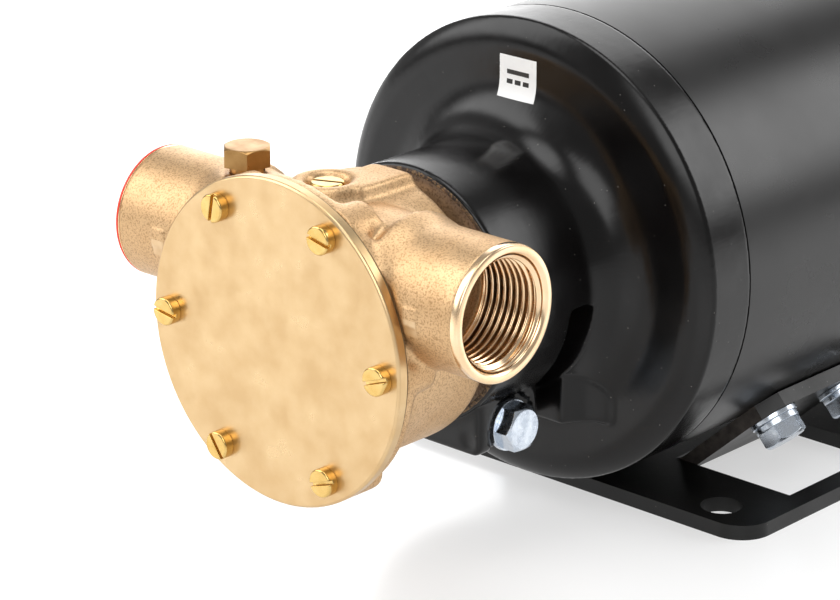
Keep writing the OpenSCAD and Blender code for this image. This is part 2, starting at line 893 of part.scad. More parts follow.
module front_bell() {
    clamp_y = neck_y + clamp_back;
    spot_x = foot_half_w - clamp_spot_depth;
    color(enamel) difference() {
        union() {
            turned(bell_outline());
            clamp_foot();
        }
        rod(neck_y - over, neck_y + clamp_l, spigot_r + run_fit);
        rod(neck_y + clamp_l - over, bell_face_y, neck_cavity_r);
        rod(bell_face_y - over, front_bearing_y + over, shaft_r + 2 * shaft_gap);
        rod(front_bearing_y, front_bearing_y + front_race_w + over, front_race_d / 2 + seat_fit);
        bell_hollow();
        drain_windows();
        translate([-slit_w / 2, neck_y - over, axis_h - foot_drop - over])
            cube([slit_w, clamp_l + over, foot_drop - spigot_r + 2 * over]);
        slab(neck_y, neck_y + foot_front_back + foot_mark_depth)
            translate([foot_half_w - foot_mark_in, foot_mark_in - foot_drop]) circle(r = foot_mark_r);
        cross_rod(-foot_half_w - over, foot_half_w + over, clamp_y, -clamp_drop, bolt_d / 2 + thread_fit);
        cross_rod(spot_x, foot_half_w + clamp_spot_d, clamp_y, -clamp_drop, clamp_spot_d / 2);
        for (side = [-1, 1])
            translate([0, bell_face_y + tie_hole_back, axis_h + side * tie_r]) rotate([-90, 0, 0])
                cylinder(h = bell_l, d = tie_d + 2 * thread_fit);
    }
}

module clamp_bolt() {
    seat_x = foot_half_w - clamp_spot_depth + clamp_washer_t;
    color(zinc) translate([seat_x, neck_y + clamp_back, axis_h - clamp_drop]) rotate([0, 90, 0]) {
        rotate([0, 0, clamp_head_turn]) hex_head(bolt_af, head_h, head_edge);
        translate([0, 0, -clamp_bolt_l]) cylinder(h = clamp_bolt_l, d = bolt_d);
    }
}

module clamp_washer() {
    seat_x = foot_half_w - clamp_spot_depth;
    color(zinc) difference() {
        cross_rod(seat_x, seat_x + clamp_washer_t, neck_y + clamp_back, -clamp_drop, clamp_washer_d / 2);
        cross_rod(
            seat_x - over, seat_x + clamp_washer_t + over, neck_y + clamp_back, -clamp_drop,
            bolt_d / 2 + thread_fit
        );
    }
}

// A bearing race: a ring with a ball groove
module race(from, width, inner, outer, pitch, ball) {
    at(from) rotate([-90, 0, 0]) rotate_extrude() difference() {
        polygon([
            [inner, race_edge], [inner + race_edge, 0], [outer - race_edge, 0], [outer, race_edge],
            [outer, width - race_edge], [outer - race_edge, width], [inner + race_edge, width],
            [inner, width - race_edge]
        ]);
        translate([pitch, width / 2]) circle(d = ball + 2 * ball_fit);
    }
}

// The balls of a bearing
module balls(from, width, pitch, ball) {
    around(balls_n) translate([0, from + width / 2, pitch]) sphere(d = ball, $fn = 32);
}

// A cage: a thin ring with a round pocket for each ball
module cage(from, width, pitch, ball) {
    difference() {
        ring(
            from + (width - cage_w) / 2, from + (width + cage_w) / 2, pitch - cage_t / 2, pitch + cage_t / 2
        );
        around(balls_n) translate([0, from + width / 2, 0])
            cylinder(h = 2 * pitch, d = ball + 2 * cage_pocket_fit);
    }
}

module front_outer_race() {
    inner_r = front_pitch_r + front_land;
    color(steel) race(front_bearing_y, front_race_w, inner_r, front_race_d / 2, front_pitch_r, front_ball_d);
}

module front_inner_race() {
    hole_r = front_bore_d / 2 + seat_fit;
    outer_r = front_pitch_r - front_land;
    color(steel) race(front_bearing_y, front_race_w, hole_r, outer_r, front_pitch_r, front_ball_d);
}

module front_balls() {
    color(steel) balls(front_bearing_y, front_race_w, front_pitch_r, front_ball_d);
}

module front_cage() {
    color(brass) cage(front_bearing_y, front_race_w, front_pitch_r, front_ball_d);
}

module rear_outer_race() {
    inner_r = rear_pitch_r + rear_land;
    color(steel) race(rear_bearing_y, rear_race_w, inner_r, rear_race_d / 2, rear_pitch_r, rear_ball_d);
}

module rear_inner_race() {
    hole_r = rear_bore_d / 2 + seat_fit;
    outer_r = rear_pitch_r - rear_land;
    color(steel) race(rear_bearing_y, rear_race_w, hole_r, outer_r, rear_pitch_r, rear_ball_d);
}

module rear_balls() {
    color(steel) balls(rear_bearing_y, rear_race_w, rear_pitch_r, rear_ball_d);
}

module rear_cage() {
    color(brass) cage(rear_bearing_y, rear_race_w, rear_pitch_r, rear_ball_d);
}

module wave_spring() {
    from = rear_bearing_y + rear_race_w;
    color(steel) ring(from, from + wave_gap, rear_pitch_r + rear_land, rear_race_d / 2 - wave_edge);
}

module motor_shaft() {
    front_y = body_y + shaft_front_back;
    neck_step_y = bell_face_y + bell_pocket_back / 2;
    front_shoulder_y = front_bearing_y + front_race_w;
    rear_step_y = rear_bearing_y;
    end_y = rear_bearing_y + rear_race_w + wave_gap / 2;
    color(steel) difference() {
        turned([
            [0, front_y], [shaft_r - cover_edge, front_y], [shaft_r, front_y + cover_edge],
            [shaft_r, neck_step_y], [front_bore_d / 2, neck_step_y], [front_bore_d / 2, front_shoulder_y],
            [core_bore_r, front_shoulder_y], [core_bore_r, comm_y - comm_back / 2],
            [comm_bore_r, comm_y - comm_back / 2], [comm_bore_r, rear_step_y],
            [rear_bore_d / 2, rear_step_y], [rear_bore_d / 2, end_y], [0, end_y]
        ]);
        slab(port_y - key_l / 2 - seat_fit, port_y + key_l / 2 + seat_fit)
            translate([-key_w / 2 - seat_fit, shaft_r - key_sink - seat_fit])
            square([key_w + 2 * seat_fit, key_h]);
    }
}

module motor_tube() {
    color(enamel) difference() {
        ring(seam_y, tube_end_y, tube_bore_r, tube_r);
        at_foot_bolts() cylinder(h = tube_r + over, d = bolt_d + 2 * thread_fit);
    }
}

module magnets() {
    from = core_y - magnet_over;
    to = core_y + core_l + magnet_over;
    color([0.20, 0.20, 0.22]) slab(from, to)
        for (i = [0:magnets_n - 1]) rotate(360 * (i + 1 / 2) / magnets_n - magnet_span / 2)
            difference() {
                intersection() {
                    circle(r = tube_bore_r);
                    wedge(magnet_span, tube_r);
                }
                circle(r = magnet_in_r);
            }
}

// A flat wedge from the X axis round to an angle below 180
module wedge(angle, r) {
    far = r / cos(angle / 2);
    polygon([[0, 0], [far, 0], far * [cos(angle / 2), sin(angle / 2)], far * [cos(angle), sin(angle)]]);
}

// The slots of the armature core, or the wires in them when drawn smaller by wire_fit
module core_slots(shrink) {
    slot_centre = core_r - slot_sink - slot_r;
    for (i = [0:slots_n - 1]) rotate(360 * i / slots_n) translate([0, slot_centre])
        circle(r = slot_r - shrink, $fn = 24);
}

module armature_core() {
    mouth_bottom = core_r - slot_sink - slot_r;
    color([0.45, 0.45, 0.47]) slab(core_y, core_y + core_l) difference() {
        circle(r = core_r);
        circle(r = core_bore_r + seat_fit);
        core_slots(0);
        for (i = [0:slots_n - 1])
            rotate(360 * i / slots_n) translate([-slot_mouth_w / 2, mouth_bottom])
                square([slot_mouth_w, core_r]);
    }
}

module windings() {
    outer = core_r - slot_sink;
    round_r = end_turn_l / 3;
    color([0.60, 0.30, 0.16]) {
        slab(core_y - over, core_y + core_l + over) core_slots(wire_fit);
        for (end = [-1, 1]) {
            face_y = end < 0 ? core_y : core_y + core_l;
            far_y = face_y + end * end_turn_l;
            turned(concat(
                [[end_turn_in, face_y + end * wire_fit], [outer, face_y + end * wire_fit]],
                [for (i = [0:6]) let (a = 15 * i)
                    [outer - round_r + round_r * cos(a), far_y - end * round_r + end * round_r * sin(a)]],
                [[end_turn_in, far_y]]
            ));
        }
    }
}

module commutator() {
    color([0.72, 0.45, 0.25]) slab(comm_y, comm_y + comm_l) difference() {
        circle(d = comm_d);
        circle(r = comm_bore_r + seat_fit);
        for (i = [0:slots_n - 1])
            rotate(360 * i / slots_n) translate([-comm_slot_w / 2, comm_d / 2 - comm_slot_h])
                square([comm_slot_w, comm_slot_h + over]);
    }
}

// Seats children over each brush with +Z outwards along its own radius
module at_brushes() {
    around(brushes_n, 180 / brushes_n)
        translate([0, brush_plate_y - brush_back - brush_l / 2, comm_d / 2 + run_fit])
        children();
}

module brush_plate() {
    to = brush_plate_y + brush_plate_t;
    color([0.45, 0.28, 0.14]) difference() {
        ring(brush_plate_y, to, brush_plate_in, tube_bore_r - run_fit);
        for (side = [-1, 1]) translate([0, brush_plate_y - over, axis_h + side * tie_r]) rotate([-90, 0, 0])
            cylinder(h = brush_plate_t + 2 * over, d = tie_d + hole_fit);
    }
}

module brush_holders() {
    outer_w = brush_w + 2 * (brush_fit + holder_wall);
    outer_l = brush_l + 2 * (brush_fit + holder_wall);
    color(brass) at_brushes() translate([0, 0, holder_gap]) difference() {
        translate([-outer_w / 2, -outer_l / 2, 0])
            cube([outer_w, outer_l / 2 + brush_l / 2 + brush_back, holder_h]);
        translate([-brush_w / 2 - brush_fit, -brush_l / 2 - brush_fit, -over])
            cube([brush_w + 2 * brush_fit, brush_l + 2 * brush_fit, holder_h - holder_wall + over]);
    }
}

module brushes() {
    color([0.14, 0.13, 0.13]) at_brushes()
        translate([-brush_w / 2, -brush_l / 2, 0]) cube([brush_w, brush_l, brush_h]);
}

module brush_springs() {
    spring_l = holder_gap + holder_h - holder_wall - brush_h;
    color(steel) at_brushes() translate([0, 0, brush_h])
        coil(brush_spring_d / 2, brush_wire_d, brush_spring_turns, spring_l);
}

// The outside of the rear bell: a rounded rim, and a ribbed dish around the bearing's hub
module rear_casting(hub_r) {
    dish_y = rear_face_y - rear_dish;
    dish_out = tube_r - rear_dish_edge;
    dish_in = hub_r + rear_dish_slope;
    turned(concat(
        [[0, tube_end_y - register_l], [tube_bore_r - run_fit, tube_end_y - register_l],
         [tube_bore_r - run_fit, tube_end_y], [tube_r, tube_end_y]],
        arc_points([tube_r - rear_rim_r, rear_face_y - rear_rim_r], rear_rim_r, 0, 90),
        [[dish_out + rear_dish_slope, rear_face_y], [dish_out, dish_y], [dish_in, dish_y],
         [hub_r, rear_face_y], [0, rear_face_y]]
    ));
    around(rear_ribs_n, 180 / rear_ribs_n)
        translate([-rear_rib_w / 2, dish_y - over, hub_r - over])
        cube([rear_rib_w, rear_dish + over, dish_out + rear_dish_slope + 2 * over - hub_r]);
}

module rear_bell() {
    pocket_y = rear_bearing_y + rear_race_w + wave_gap;
    tie_seat_y = rear_face_y - tie_seat_forward;
    hub_r = rear_race_d / 2 + rear_pocket_wall;
    color(enamel) difference() {
        rear_casting(hub_r);
        difference() {
            turned([
                [0, tube_end_y - register_l - over],
                [tube_bore_r - register_wall, tube_end_y - register_l - over],
                [tube_bore_r - register_wall, rear_face_y - rear_rim_r],
                [tube_r - rear_rim_r - rear_wall, rear_face_y - rear_wall], [hub_r, rear_face_y - rear_wall],
                [hub_r, rear_bearing_y], [0, rear_bearing_y]
            ]);
            for (side = [-1, 1])
                translate([0, tube_end_y - register_l, axis_h + side * tie_r]) rotate([-90, 0, 0])
                    cylinder(h = rear_l, r = tie_boss_r);
        }
        rod(rear_bearing_y - over, pocket_y, rear_race_d / 2 + seat_fit);
        for (side = [-1, 1])
            translate([0, tube_end_y - register_l, axis_h + side * tie_r]) rotate([-90, 0, 0]) {
                translate([0, 0, -over]) cylinder(h = rear_l + register_l, d = tie_d + hole_fit);
                translate([0, 0, tie_seat_y - tube_end_y + register_l])
                    cylinder(h = rear_l, r = tie_head_spot_r);
            }
        cross_rod(-tube_r - over, -tube_r / 2, rear_face_y - grommet_forward, 0, grommet_r + seat_fit);
    }
}

module tie_bolts() {
    seat_y = rear_face_y - tie_seat_forward;
    tip_y = seam_y - register_l;
    color(zinc) for (side = [-1, 1]) translate([0, tip_y, axis_h + side * tie_r]) rotate([-90, 0, 0]) {
        cylinder(h = seat_y - tip_y, d = tie_d);
        translate([0, 0, seat_y - tip_y]) hex_head(tie_head_af, tie_head_h, head_edge);
    }
}

module cable_grommet() {
    wall_x = tube_r;
    inner_x = tube_bore_r - register_wall;
    y = rear_face_y - grommet_forward;
    color(rubber) difference() {
        union() {
            cross_rod(-wall_x, -inner_x, y, 0, grommet_r);
            cross_rod(-wall_x - grommet_lip_t, -wall_x, y, 0, grommet_r + grommet_lip);
        }
        cross_rod(-wall_x - grommet_lip_t - over, -inner_x + over, y, 0, grommet_bore_r);
    }
}

// Seats children at each foot bolt, with +Z outwards through the tongue
module at_foot_bolts() {
    for (side = [-1, 1]) for (end = [-1, 1])
        translate([0, end * foot_bolt_pitch / 2, axis_h])
        rotate([0, side * (180 - tongue_angle), 0])
        children();
}

// One tongue's cross-section: a bend out of the plate and a flat that lies on the motor tube
module tongue_section() {
    centre = [bend_x, plate_z + tongue_bend_r];
    n = [sin(tongue_angle), -cos(tongue_angle)];
    along = [cos(tongue_angle), sin(tongue_angle)];
    end_point = tube_r * n + tongue_past_bolt * along;
    polygon(concat(
        arc_points(centre, tongue_bend_r, -90, tongue_angle - 90, 6),
        [end_point, end_point + plate_t * n],
        arc_points(centre, tongue_bend_r + plate_t, tongue_angle - 90, -90, 6)
    ));
}

// One tongue with its outer corners cut off
module tongue() {
    difference() {
        slab(-tongue_l / 2, tongue_l / 2) tongue_section();
        at(0) rotate([0, 180 - tongue_angle, 0])
            for (end = [-1, 1])
                translate([-tongue_past_bolt, end * tongue_l / 2, tube_r - over])
                rotate([0, 0, 45])
                translate([-tongue_chamfer / sqrt(2), -tongue_chamfer / sqrt(2), 0])
                cube([tongue_chamfer * sqrt(2), tongue_chamfer * sqrt(2), plate_t + 2 * over]);
    }
}

module base_plate() {
    corner_x = plate_w / 2 - plate_corner_r;
    corner_y = plate_l / 2 - plate_corner_r;
    color(enamel) difference() {
        union() {
            difference() {
                linear_extrude(plate_t) union() {
                    square([plate_w, 2 * corner_y], center = true);
                    square([2 * corner_x, plate_l], center = true);
                    for (x = [-corner_x, corner_x]) for (y = [-corner_y, corner_y])
                        translate([x, y]) circle(r = plate_corner_r);
                }
                for (side = [-1, 1])
                    translate([side > 0 ? bend_x : -window_out_x, -tongue_l / 2, -over])
                        cube([window_out_x - bend_x, tongue_l, plate_t + 2 * over]);
            }
            tongue();
            mirror([1, 0, 0]) tongue();
        }
        for (x = [-1, 1]) for (y = [-1, 1])
            translate([x * hole_pitch_x / 2, y * hole_pitch_y / 2, -over])
            cylinder(h = plate_t + 2 * over, d = hole_d);
        at_foot_bolts() translate([0, 0, tube_r - over])
            cylinder(h = plate_t + 2 * over, d = bolt_d + hole_fit);
    }
}

module flat_washers() {
    color(zinc) at_foot_bolts() translate([0, 0, tube_r + plate_t]) difference() {
        cylinder(h = washer_t, d = washer_d);
        translate([0, 0, -over]) cylinder(h = washer_t + 2 * over, d = bolt_d + hole_fit);
    }
}

module spring_washers() {
    color(zinc) at_foot_bolts() translate([0, 0, tube_r + plate_t + washer_t]) difference() {
        cylinder(h = spring_washer_t, d = spring_washer_d);
        translate([0, 0, -over]) cylinder(h = spring_washer_t + 2 * over, d = bolt_d + hole_fit);
        translate([0, -slit_w / 4, -over]) cube([spring_washer_d, slit_w / 2, spring_washer_t + 2 * over]);
    }
}

module foot_bolts() {
    seat = tube_r + plate_t + washer_t + spring_washer_t;
    shank_l = plate_t + washer_t + spring_washer_t + foot_thread_l;
    color(zinc) at_foot_bolts() translate([0, 0, seat]) {
        hex_head(bolt_af, head_h, head_edge);
        translate([0, 0, -shank_l]) cylinder(h = shank_l, d = bolt_d);
    }
}

// A film that follows the bell's surface under it
module voltage_label() {
    color([0.93, 0.93, 0.93]) intersection() {
        slab(bell_face_y - neck_fillet, bell_face_y + rim_back)
            translate([label_x - label_w / 2, tube_r - label_in - label_h / 2]) square([label_w, label_h]);
        difference() {
            translate([0, -label_t, 0]) turned(bell_outline());
            turned(bell_outline());
        }
    }
}

module transit_plug() {
    cup_r = port_bore_r - 2 * run_fit;
    color([0.80, 0.10, 0.06]) translate([-port_reach, port_y, axis_h + port_rise]) rotate([0, -90, 0])
        rotate_extrude() polygon([
            [0, -cap_l], [cup_r, -cap_l], [cup_r, 0], [cap_flange_r, 0], [cap_flange_r, cap_flange_t],
            [cup_r - cap_wall, cap_flange_t], [cup_r - cap_wall, cap_wall - cap_l], [0, cap_wall - cap_l]
        ]);
}

end_cover();
cover_screws();
cover_gasket();
pump_body();
cam();
cam_screw();
priming_plug();
wear_plate();
impeller();
impeller_insert();
drive_key();
seal_seat();
seat_cup();
seal_head();
seal_bellows();
seal_spring();
seal_collar();
lip_seal();
slinger();
front_bell();
clamp_bolt();
clamp_washer();
front_outer_race();
front_inner_race();
front_balls();
front_cage();
rear_outer_race();
rear_inner_race();
rear_balls();
rear_cage();
wave_spring();
motor_shaft();
motor_tube();
magnets();
armature_core();
windings();
commutator();
brush_plate();
brush_holders();
brushes();
brush_springs();
rear_bell();
tie_bolts();
cable_grommet();
base_plate();
foot_bolts();
spring_washers();
flat_washers();
voltage_label();
transit_plug();
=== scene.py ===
"""Looks of a bronze flexible impeller pump on its motor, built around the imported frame.

Each sub-assembly is a class that dresses its own nodes and makes the finer pieces that stand for some
of them. Lengths whose name ends in mm are millimetres, and so are the sizes of FrontBell, which is
written as an outline. Every other length is in metres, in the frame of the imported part.
"""

import logging
import math
from collections.abc import Callable, Sequence
from dataclasses import dataclass, field
from enum import Enum

import bmesh
import bpy
import numpy as np
from mathutils import Matrix, Vector
from mathutils.bvhtree import BVHTree


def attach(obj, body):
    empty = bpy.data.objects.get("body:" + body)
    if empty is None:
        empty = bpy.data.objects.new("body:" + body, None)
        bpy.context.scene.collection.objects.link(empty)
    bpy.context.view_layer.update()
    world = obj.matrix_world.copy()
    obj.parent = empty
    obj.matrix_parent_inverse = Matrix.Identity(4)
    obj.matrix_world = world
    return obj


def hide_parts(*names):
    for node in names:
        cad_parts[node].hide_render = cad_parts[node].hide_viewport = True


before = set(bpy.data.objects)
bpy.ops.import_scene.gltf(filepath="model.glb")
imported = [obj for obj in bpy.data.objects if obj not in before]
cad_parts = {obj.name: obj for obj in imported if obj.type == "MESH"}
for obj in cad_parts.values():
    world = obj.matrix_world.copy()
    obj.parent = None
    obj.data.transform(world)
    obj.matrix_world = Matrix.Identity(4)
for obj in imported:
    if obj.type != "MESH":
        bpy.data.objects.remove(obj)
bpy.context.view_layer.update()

MM = 0.001
AXIS_Z = 0.0833
PORT_Y = -0.1627
PORT_Z = 0.1025
# Brush strokes run round the shaft: ten times as long as wide, at this distance from it
STROKE_RADIUS_MM = 50.0
STROKE_STRETCH = 0.1
# The part of a noise's values that nearly all of it lies in, and the narrower parts that colours use
NOISE_SPAN = (0.3, 0.7)
PATCH_SPAN = (0.35, 0.65)
PIT_SPAN = (0.36, 0.52)
logging.basicConfig(level=logging.INFO, format="%(message)s")
log = logging.getLogger("pump")

Socket = bpy.types.NodeSocket
Tree = bpy.types.NodeTree


class Line(Enum):
    """The axis that tool marks turn about or run along."""

    X = (1.0, 0.0, 0.0)
    Y = (0.0, 1.0, 0.0)
    Z = (0.0, 0.0, 1.0)


class Marks(Enum):
    """How a surface was made, which decides the pattern of its fine relief."""

    CAST = "cast"
    BRUSHED = "brushed"
    TURNED = "turned"
    DRAWN = "drawn"
    SPRAYED = "sprayed"
    MOULDED = "moulded"
    STACKED = "stacked"


def linear(hex_colour: str) -> tuple[float, float, float, float]:
    """Turns an sRGB hex colour to linear light.

    Args:
        hex_colour: six hex digits with a leading hash.

    Returns:
        Red, green, blue and an alpha of one.
    """
    shares = [int(hex_colour[i : i + 2], 16) / 255 for i in (1, 3, 5)]
    red, green, blue = [s / 12.92 if s <= 0.04045 else ((s + 0.055) / 1.055) ** 2.4 for s in shares]
    return red, green, blue, 1.0


def add_node(
    tree: Tree, kind: str, links: dict[str | int, object] | None = None, **settings: object
) -> bpy.types.Node:
    """Adds one shader node with its settings and links.

    Args:
        tree: the material's node tree.
        kind: the node's Blender type.
        links: for each input, a value or the socket that feeds it.
        **settings: the node's own options.

    Returns:
        The new node.
    """
    made = tree.nodes.new(kind)
    for name, value in settings.items():
        setattr(made, name, value)
    for name, value in (links or {}).items():
        if isinstance(value, Socket):
            tree.links.new(value, made.inputs[name])
        else:
            made.inputs[name].default_value = value
    return made


@dataclass(frozen=True)
class Finish:
    """A real material and how its surface was made.

    The colour drifts between two close tones in patches, the roughness drifts with it, and the
    fine relief follows from how the surface was made. Sizes are real ones in millimetres.
    """

    name: str
    colour: str
    patch_colour: str
    metallic: float = 0.0
    roughness: float = 0.5
    rough_spread: float = 0.08
    marks: Marks = Marks.MOULDED
    line: Line = Line.Y
    centre: tuple[float, float, float] = (0.0, 0.0, AXIS_Z)
    patch_mm: float = 18.0
    patch_share: float = 0.6
    grain_mm: float = 0.8
    grain_height_mm: float = 0.02
    wave_mm: float = 9.0
    wave_height_mm: float = 0.0
    pit_colour: str = ""
    pit_share: float = 0.0
    speck_colour: str = ""
    speck_mm: float = 0.35
    speck_gap_mm: float = 2.5
    coat: float = 0.0
    coat_roughness: float = 0.1
    ior: float = 1.5
    glow: float = 0.0

    def material(self) -> bpy.types.Material:
        """Makes the Blender material of this finish once, and finds it again after that.

        Returns:
            The material.
        """
        known = bpy.data.materials.get(self.name)
        if known is not None:
            return known
        made = bpy.data.materials.new(self.name)
        made.use_nodes = True
        made.diffuse_color = linear(self.colour)
        tree = made.node_tree
        tree.nodes.clear()
        place = add_node(tree, "ShaderNodeTexCoord").outputs["Object"]
        along = self.marked(tree, place)
        blots = {"patches": (place, self.patch_mm, 5.0), "grain": (along, self.grain_mm, 3.0)}
        if self.wave_height_mm:
            blots["waves"] = (place, self.wave_mm, 2.0)
        noise = {}
        for use, (where, size_mm, detail) in blots.items():
            links = {"Vector": where, "Scale": 1.0 / (size_mm * MM), "Detail": detail, "Roughness": 0.55}
            noise[use] = add_node(tree, "ShaderNodeTexNoise", links).outputs["Fac"]
        rough = add_node(
            tree,
            "ShaderNodeMapRange",
            {
                "Value": noise["patches"],
                "From Min": NOISE_SPAN[0],
                "From Max": NOISE_SPAN[1],
                "To Min": self.roughness - self.rough_spread,
                "To Max": self.roughness + self.rough_spread,
            },
        )
        shader = add_node(
            tree,
            "ShaderNodeBsdfPrincipled",
            {
                "Base Color": self.colouring(tree, place, noise["patches"], noise["grain"]),
                "Metallic": self.metallic,
                "Roughness": rough.outputs["Result"],
                "Coat Weight": self.coat,
                "Coat Roughness": self.coat_roughness,
                "Normal": self.relief(tree, noise["grain"], noise.get("waves")),
            },
        )
        if self.metallic < 0.5:
            shader.inputs["IOR"].default_value = self.ior
        if self.glow:
            shader.inputs["Emission Color"].default_value = linear("#ffffff")
            shader.inputs["Emission Strength"].default_value = self.glow
        add_node(tree, "ShaderNodeOutputMaterial", {"Surface": shader.outputs["BSDF"]})
        return made

    def marked(self, tree: Tree, place: Socket) -> Socket:
        """Bends the space of the grain so that it follows the marks of how the surface was made.

        Args:
            tree: the material's node tree.
            place: the point that is shaded.

        Returns:
            The bent place.
        """
        if self.marks in (Marks.CAST, Marks.SPRAYED, Marks.MOULDED):
            return place
        line = Vector(self.line.value)
        if self.marks is Marks.DRAWN:
            stretch = Vector((1, 1, 1)) - 0.97 * line
            return add_node(
                tree, "ShaderNodeVectorMath", {0: place, 1: stretch}, operation="MULTIPLY"
            ).outputs[0]
        moved = add_node(tree, "ShaderNodeVectorMath", {0: place, 1: self.centre}, operation="SUBTRACT")
        along = add_node(
            tree, "ShaderNodeVectorMath", {0: moved.outputs[0], 1: line}, operation="DOT_PRODUCT"
        ).outputs["Value"]
        flat = add_node(
            tree,
            "ShaderNodeVectorMath",
            {0: moved.outputs[0], 1: Vector((1, 1, 1)) - line},
            operation="MULTIPLY",
        ).outputs[0]
        radius = add_node(tree, "ShaderNodeVectorMath", {0: flat}, operation="LENGTH").outputs["Value"]
        if self.marks is Marks.STACKED:
            return add_node(tree, "ShaderNodeCombineXYZ", {"Y": along}).outputs[0]
        if self.marks is Marks.TURNED:
            return add_node(tree, "ShaderNodeCombineXYZ", {"X": radius, "Y": along}).outputs[0]
        parts = add_node(tree, "ShaderNodeSeparateXYZ", {0: flat}).outputs
        angle = add_node(tree, "ShaderNodeMath", {0: parts["X"], 1: parts["Z"]}, operation="ARCTAN2")
        bent = add_node(
            tree, "ShaderNodeCombineXYZ", {"X": angle.outputs[0], "Y": along, "Z": radius}
        ).outputs[0]
        strokes = (STROKE_RADIUS_MM * MM, STROKE_STRETCH, STROKE_STRETCH)
        return add_node(
            tree, "ShaderNodeVectorMath", {0: bent, 1: strokes}, operation="MULTIPLY"
        ).outputs[0]

    def colouring(self, tree: Tree, place: Socket, patches: Socket, grain: Socket) -> Socket:
        """Mixes the base colour: two tones in patches, then darker pits, then specks of dust.

        Args:
            tree: the material's node tree.
            place: the point that is shaded.
            patches: the noise of the patches.
            grain: the height of the fine relief.

        Returns:
            The colour.
        """
        low, high = PATCH_SPAN
        spread = {"Value": patches, "From Min": low, "From Max": high, "To Max": self.patch_share}
        share = add_node(tree, "ShaderNodeMapRange", spread).outputs["Result"]
        layers = [(share, self.patch_colour)]
        if self.pit_colour:
            low, high = PIT_SPAN
            fall = {"From Min": low, "From Max": high, "To Min": self.pit_share, "To Max": 0.0}
            hollow = add_node(tree, "ShaderNodeMapRange", {"Value": grain} | fall).outputs["Result"]
            layers.append((hollow, self.pit_colour))
        if self.speck_colour:
            links = {"Vector": place, "Scale": 1.0 / (self.speck_gap_mm * MM)}
            cell = add_node(tree, "ShaderNodeTexVoronoi", links).outputs["Distance"]
            reach = self.speck_mm / 2 / self.speck_gap_mm
            dot = {"Value": cell, "From Min": reach, "From Max": 1.4 * reach, "To Min": 1.0, "To Max": 0.0}
            layers.append((add_node(tree, "ShaderNodeMapRange", dot).outputs["Result"], self.speck_colour))
        tone = linear(self.colour)
        for share, colour in layers:
            links = {0: share, 6: tone, 7: linear(colour)}
            tone = add_node(tree, "ShaderNodeMix", links, data_type="RGBA").outputs[2]
        return tone

    def relief(self, tree: Tree, grain: Socket, waves: Socket | None) -> Socket:
        """Bends the normal by the slow waves of the surface and then by its grain.

        Args:
            tree: the material's node tree.
            grain: the height of the fine relief.
            waves: the height of the slow waves, where the surface has them.

        Returns:
            The normal.
        """
        links = {"Height": grain, "Distance": self.grain_height_mm * MM, "Strength": 1.0}
        if waves is not None:
            slow = {"Height": waves, "Distance": self.wave_height_mm * MM, "Strength": 1.0}
            links["Normal"] = add_node(tree, "ShaderNodeBump", slow).outputs["Normal"]
        return add_node(tree, "ShaderNodeBump", links).outputs["Normal"]


# Gunmetal, sand cast and then bead blasted: matt golden tan, freckled with fine dark pin holes
CAST_BRONZE = Finish(
    "gunmetal_sand_cast", "#d3b188", "#c6a174", metallic=1.0, roughness=0.47, marks=Marks.CAST,
    patch_mm=22, patch_share=0.5, grain_mm=0.55, grain_height_mm=0.08, wave_mm=6, wave_height_mm=0.1,
    pit_colour="#8a683f", pit_share=0.6,
)
# Bronze plate, lapped flat: warm pale gold with a soft glow, cloudy stains and faint strokes
LAPPED_BRONZE = Finish(
    "bronze_lapped_plate", "#d0b388", "#c8a473", metallic=1.0, roughness=0.34, marks=Marks.DRAWN,
    line=Line.Z, patch_mm=9, patch_share=0.5, grain_mm=0.6, grain_height_mm=0.004, wave_mm=7,
    wave_height_mm=0.012,
)
# Gunmetal smoothed with a file: the casting's tan, only paler and without its pin holes
FILED_BRONZE = Finish(
    "gunmetal_filed", "#d8bb95", "#ccab80", metallic=1.0, roughness=0.42, marks=Marks.DRAWN, line=Line.X,
    patch_mm=3, grain_mm=0.4, grain_height_mm=0.008,
)
# Bronze cut on a lathe: pale creamy fresh metal with fine rings about the port
TURNED_BRONZE = Finish(
    "bronze_turned", "#f0d3ae", "#e6c092", metallic=1.0, roughness=0.2, marks=Marks.TURNED, line=Line.X,
    centre=(0.0, PORT_Y, PORT_Z), patch_mm=10, grain_mm=0.3, grain_height_mm=0.008,
)
# Brass cheese heads, turned bright: yellow and nearly mirror smooth
BRIGHT_BRASS = Finish(
    "brass_turned_bright", "#d2b272", "#c19a4e", metallic=1.0, roughness=0.17, rough_spread=0.05, patch_mm=4,
    grain_mm=0.4, grain_height_mm=0.004,
)
# Brass hexagon bar: brownish gold with long lines from the drawing die
DRAWN_BRASS = Finish(
    "brass_drawn_bar", "#b08a58", "#967141", metallic=1.0, roughness=0.34, marks=Marks.DRAWN, line=Line.Z,
    patch_mm=5, grain_mm=0.35, grain_height_mm=0.012,
)
# Steel with bright zinc plating: silvery with a cool blue tinge, a little clouded by handling
ZINC_STEEL = Finish(
    "steel_zinc_plated", "#d3dae2", "#bcc6d3", metallic=1.0, roughness=0.24, patch_mm=2.5, patch_share=0.8,
    grain_mm=0.6, grain_height_mm=0.012,
)
# Cast iron under brushed gloss enamel: jet black and wet looking, with fine strokes and a little dust
GLOSS_ENAMEL = Finish(
    "enamel_gloss_on_casting", "#070606", "#0a0909", roughness=0.22, rough_spread=0.05, marks=Marks.BRUSHED,
    patch_mm=14, grain_mm=1.1, grain_height_mm=0.02, wave_mm=11, wave_height_mm=0.09,
    speck_colour="#6d6a66", speck_mm=0.25, speck_gap_mm=3.6, ior=1.36,
)
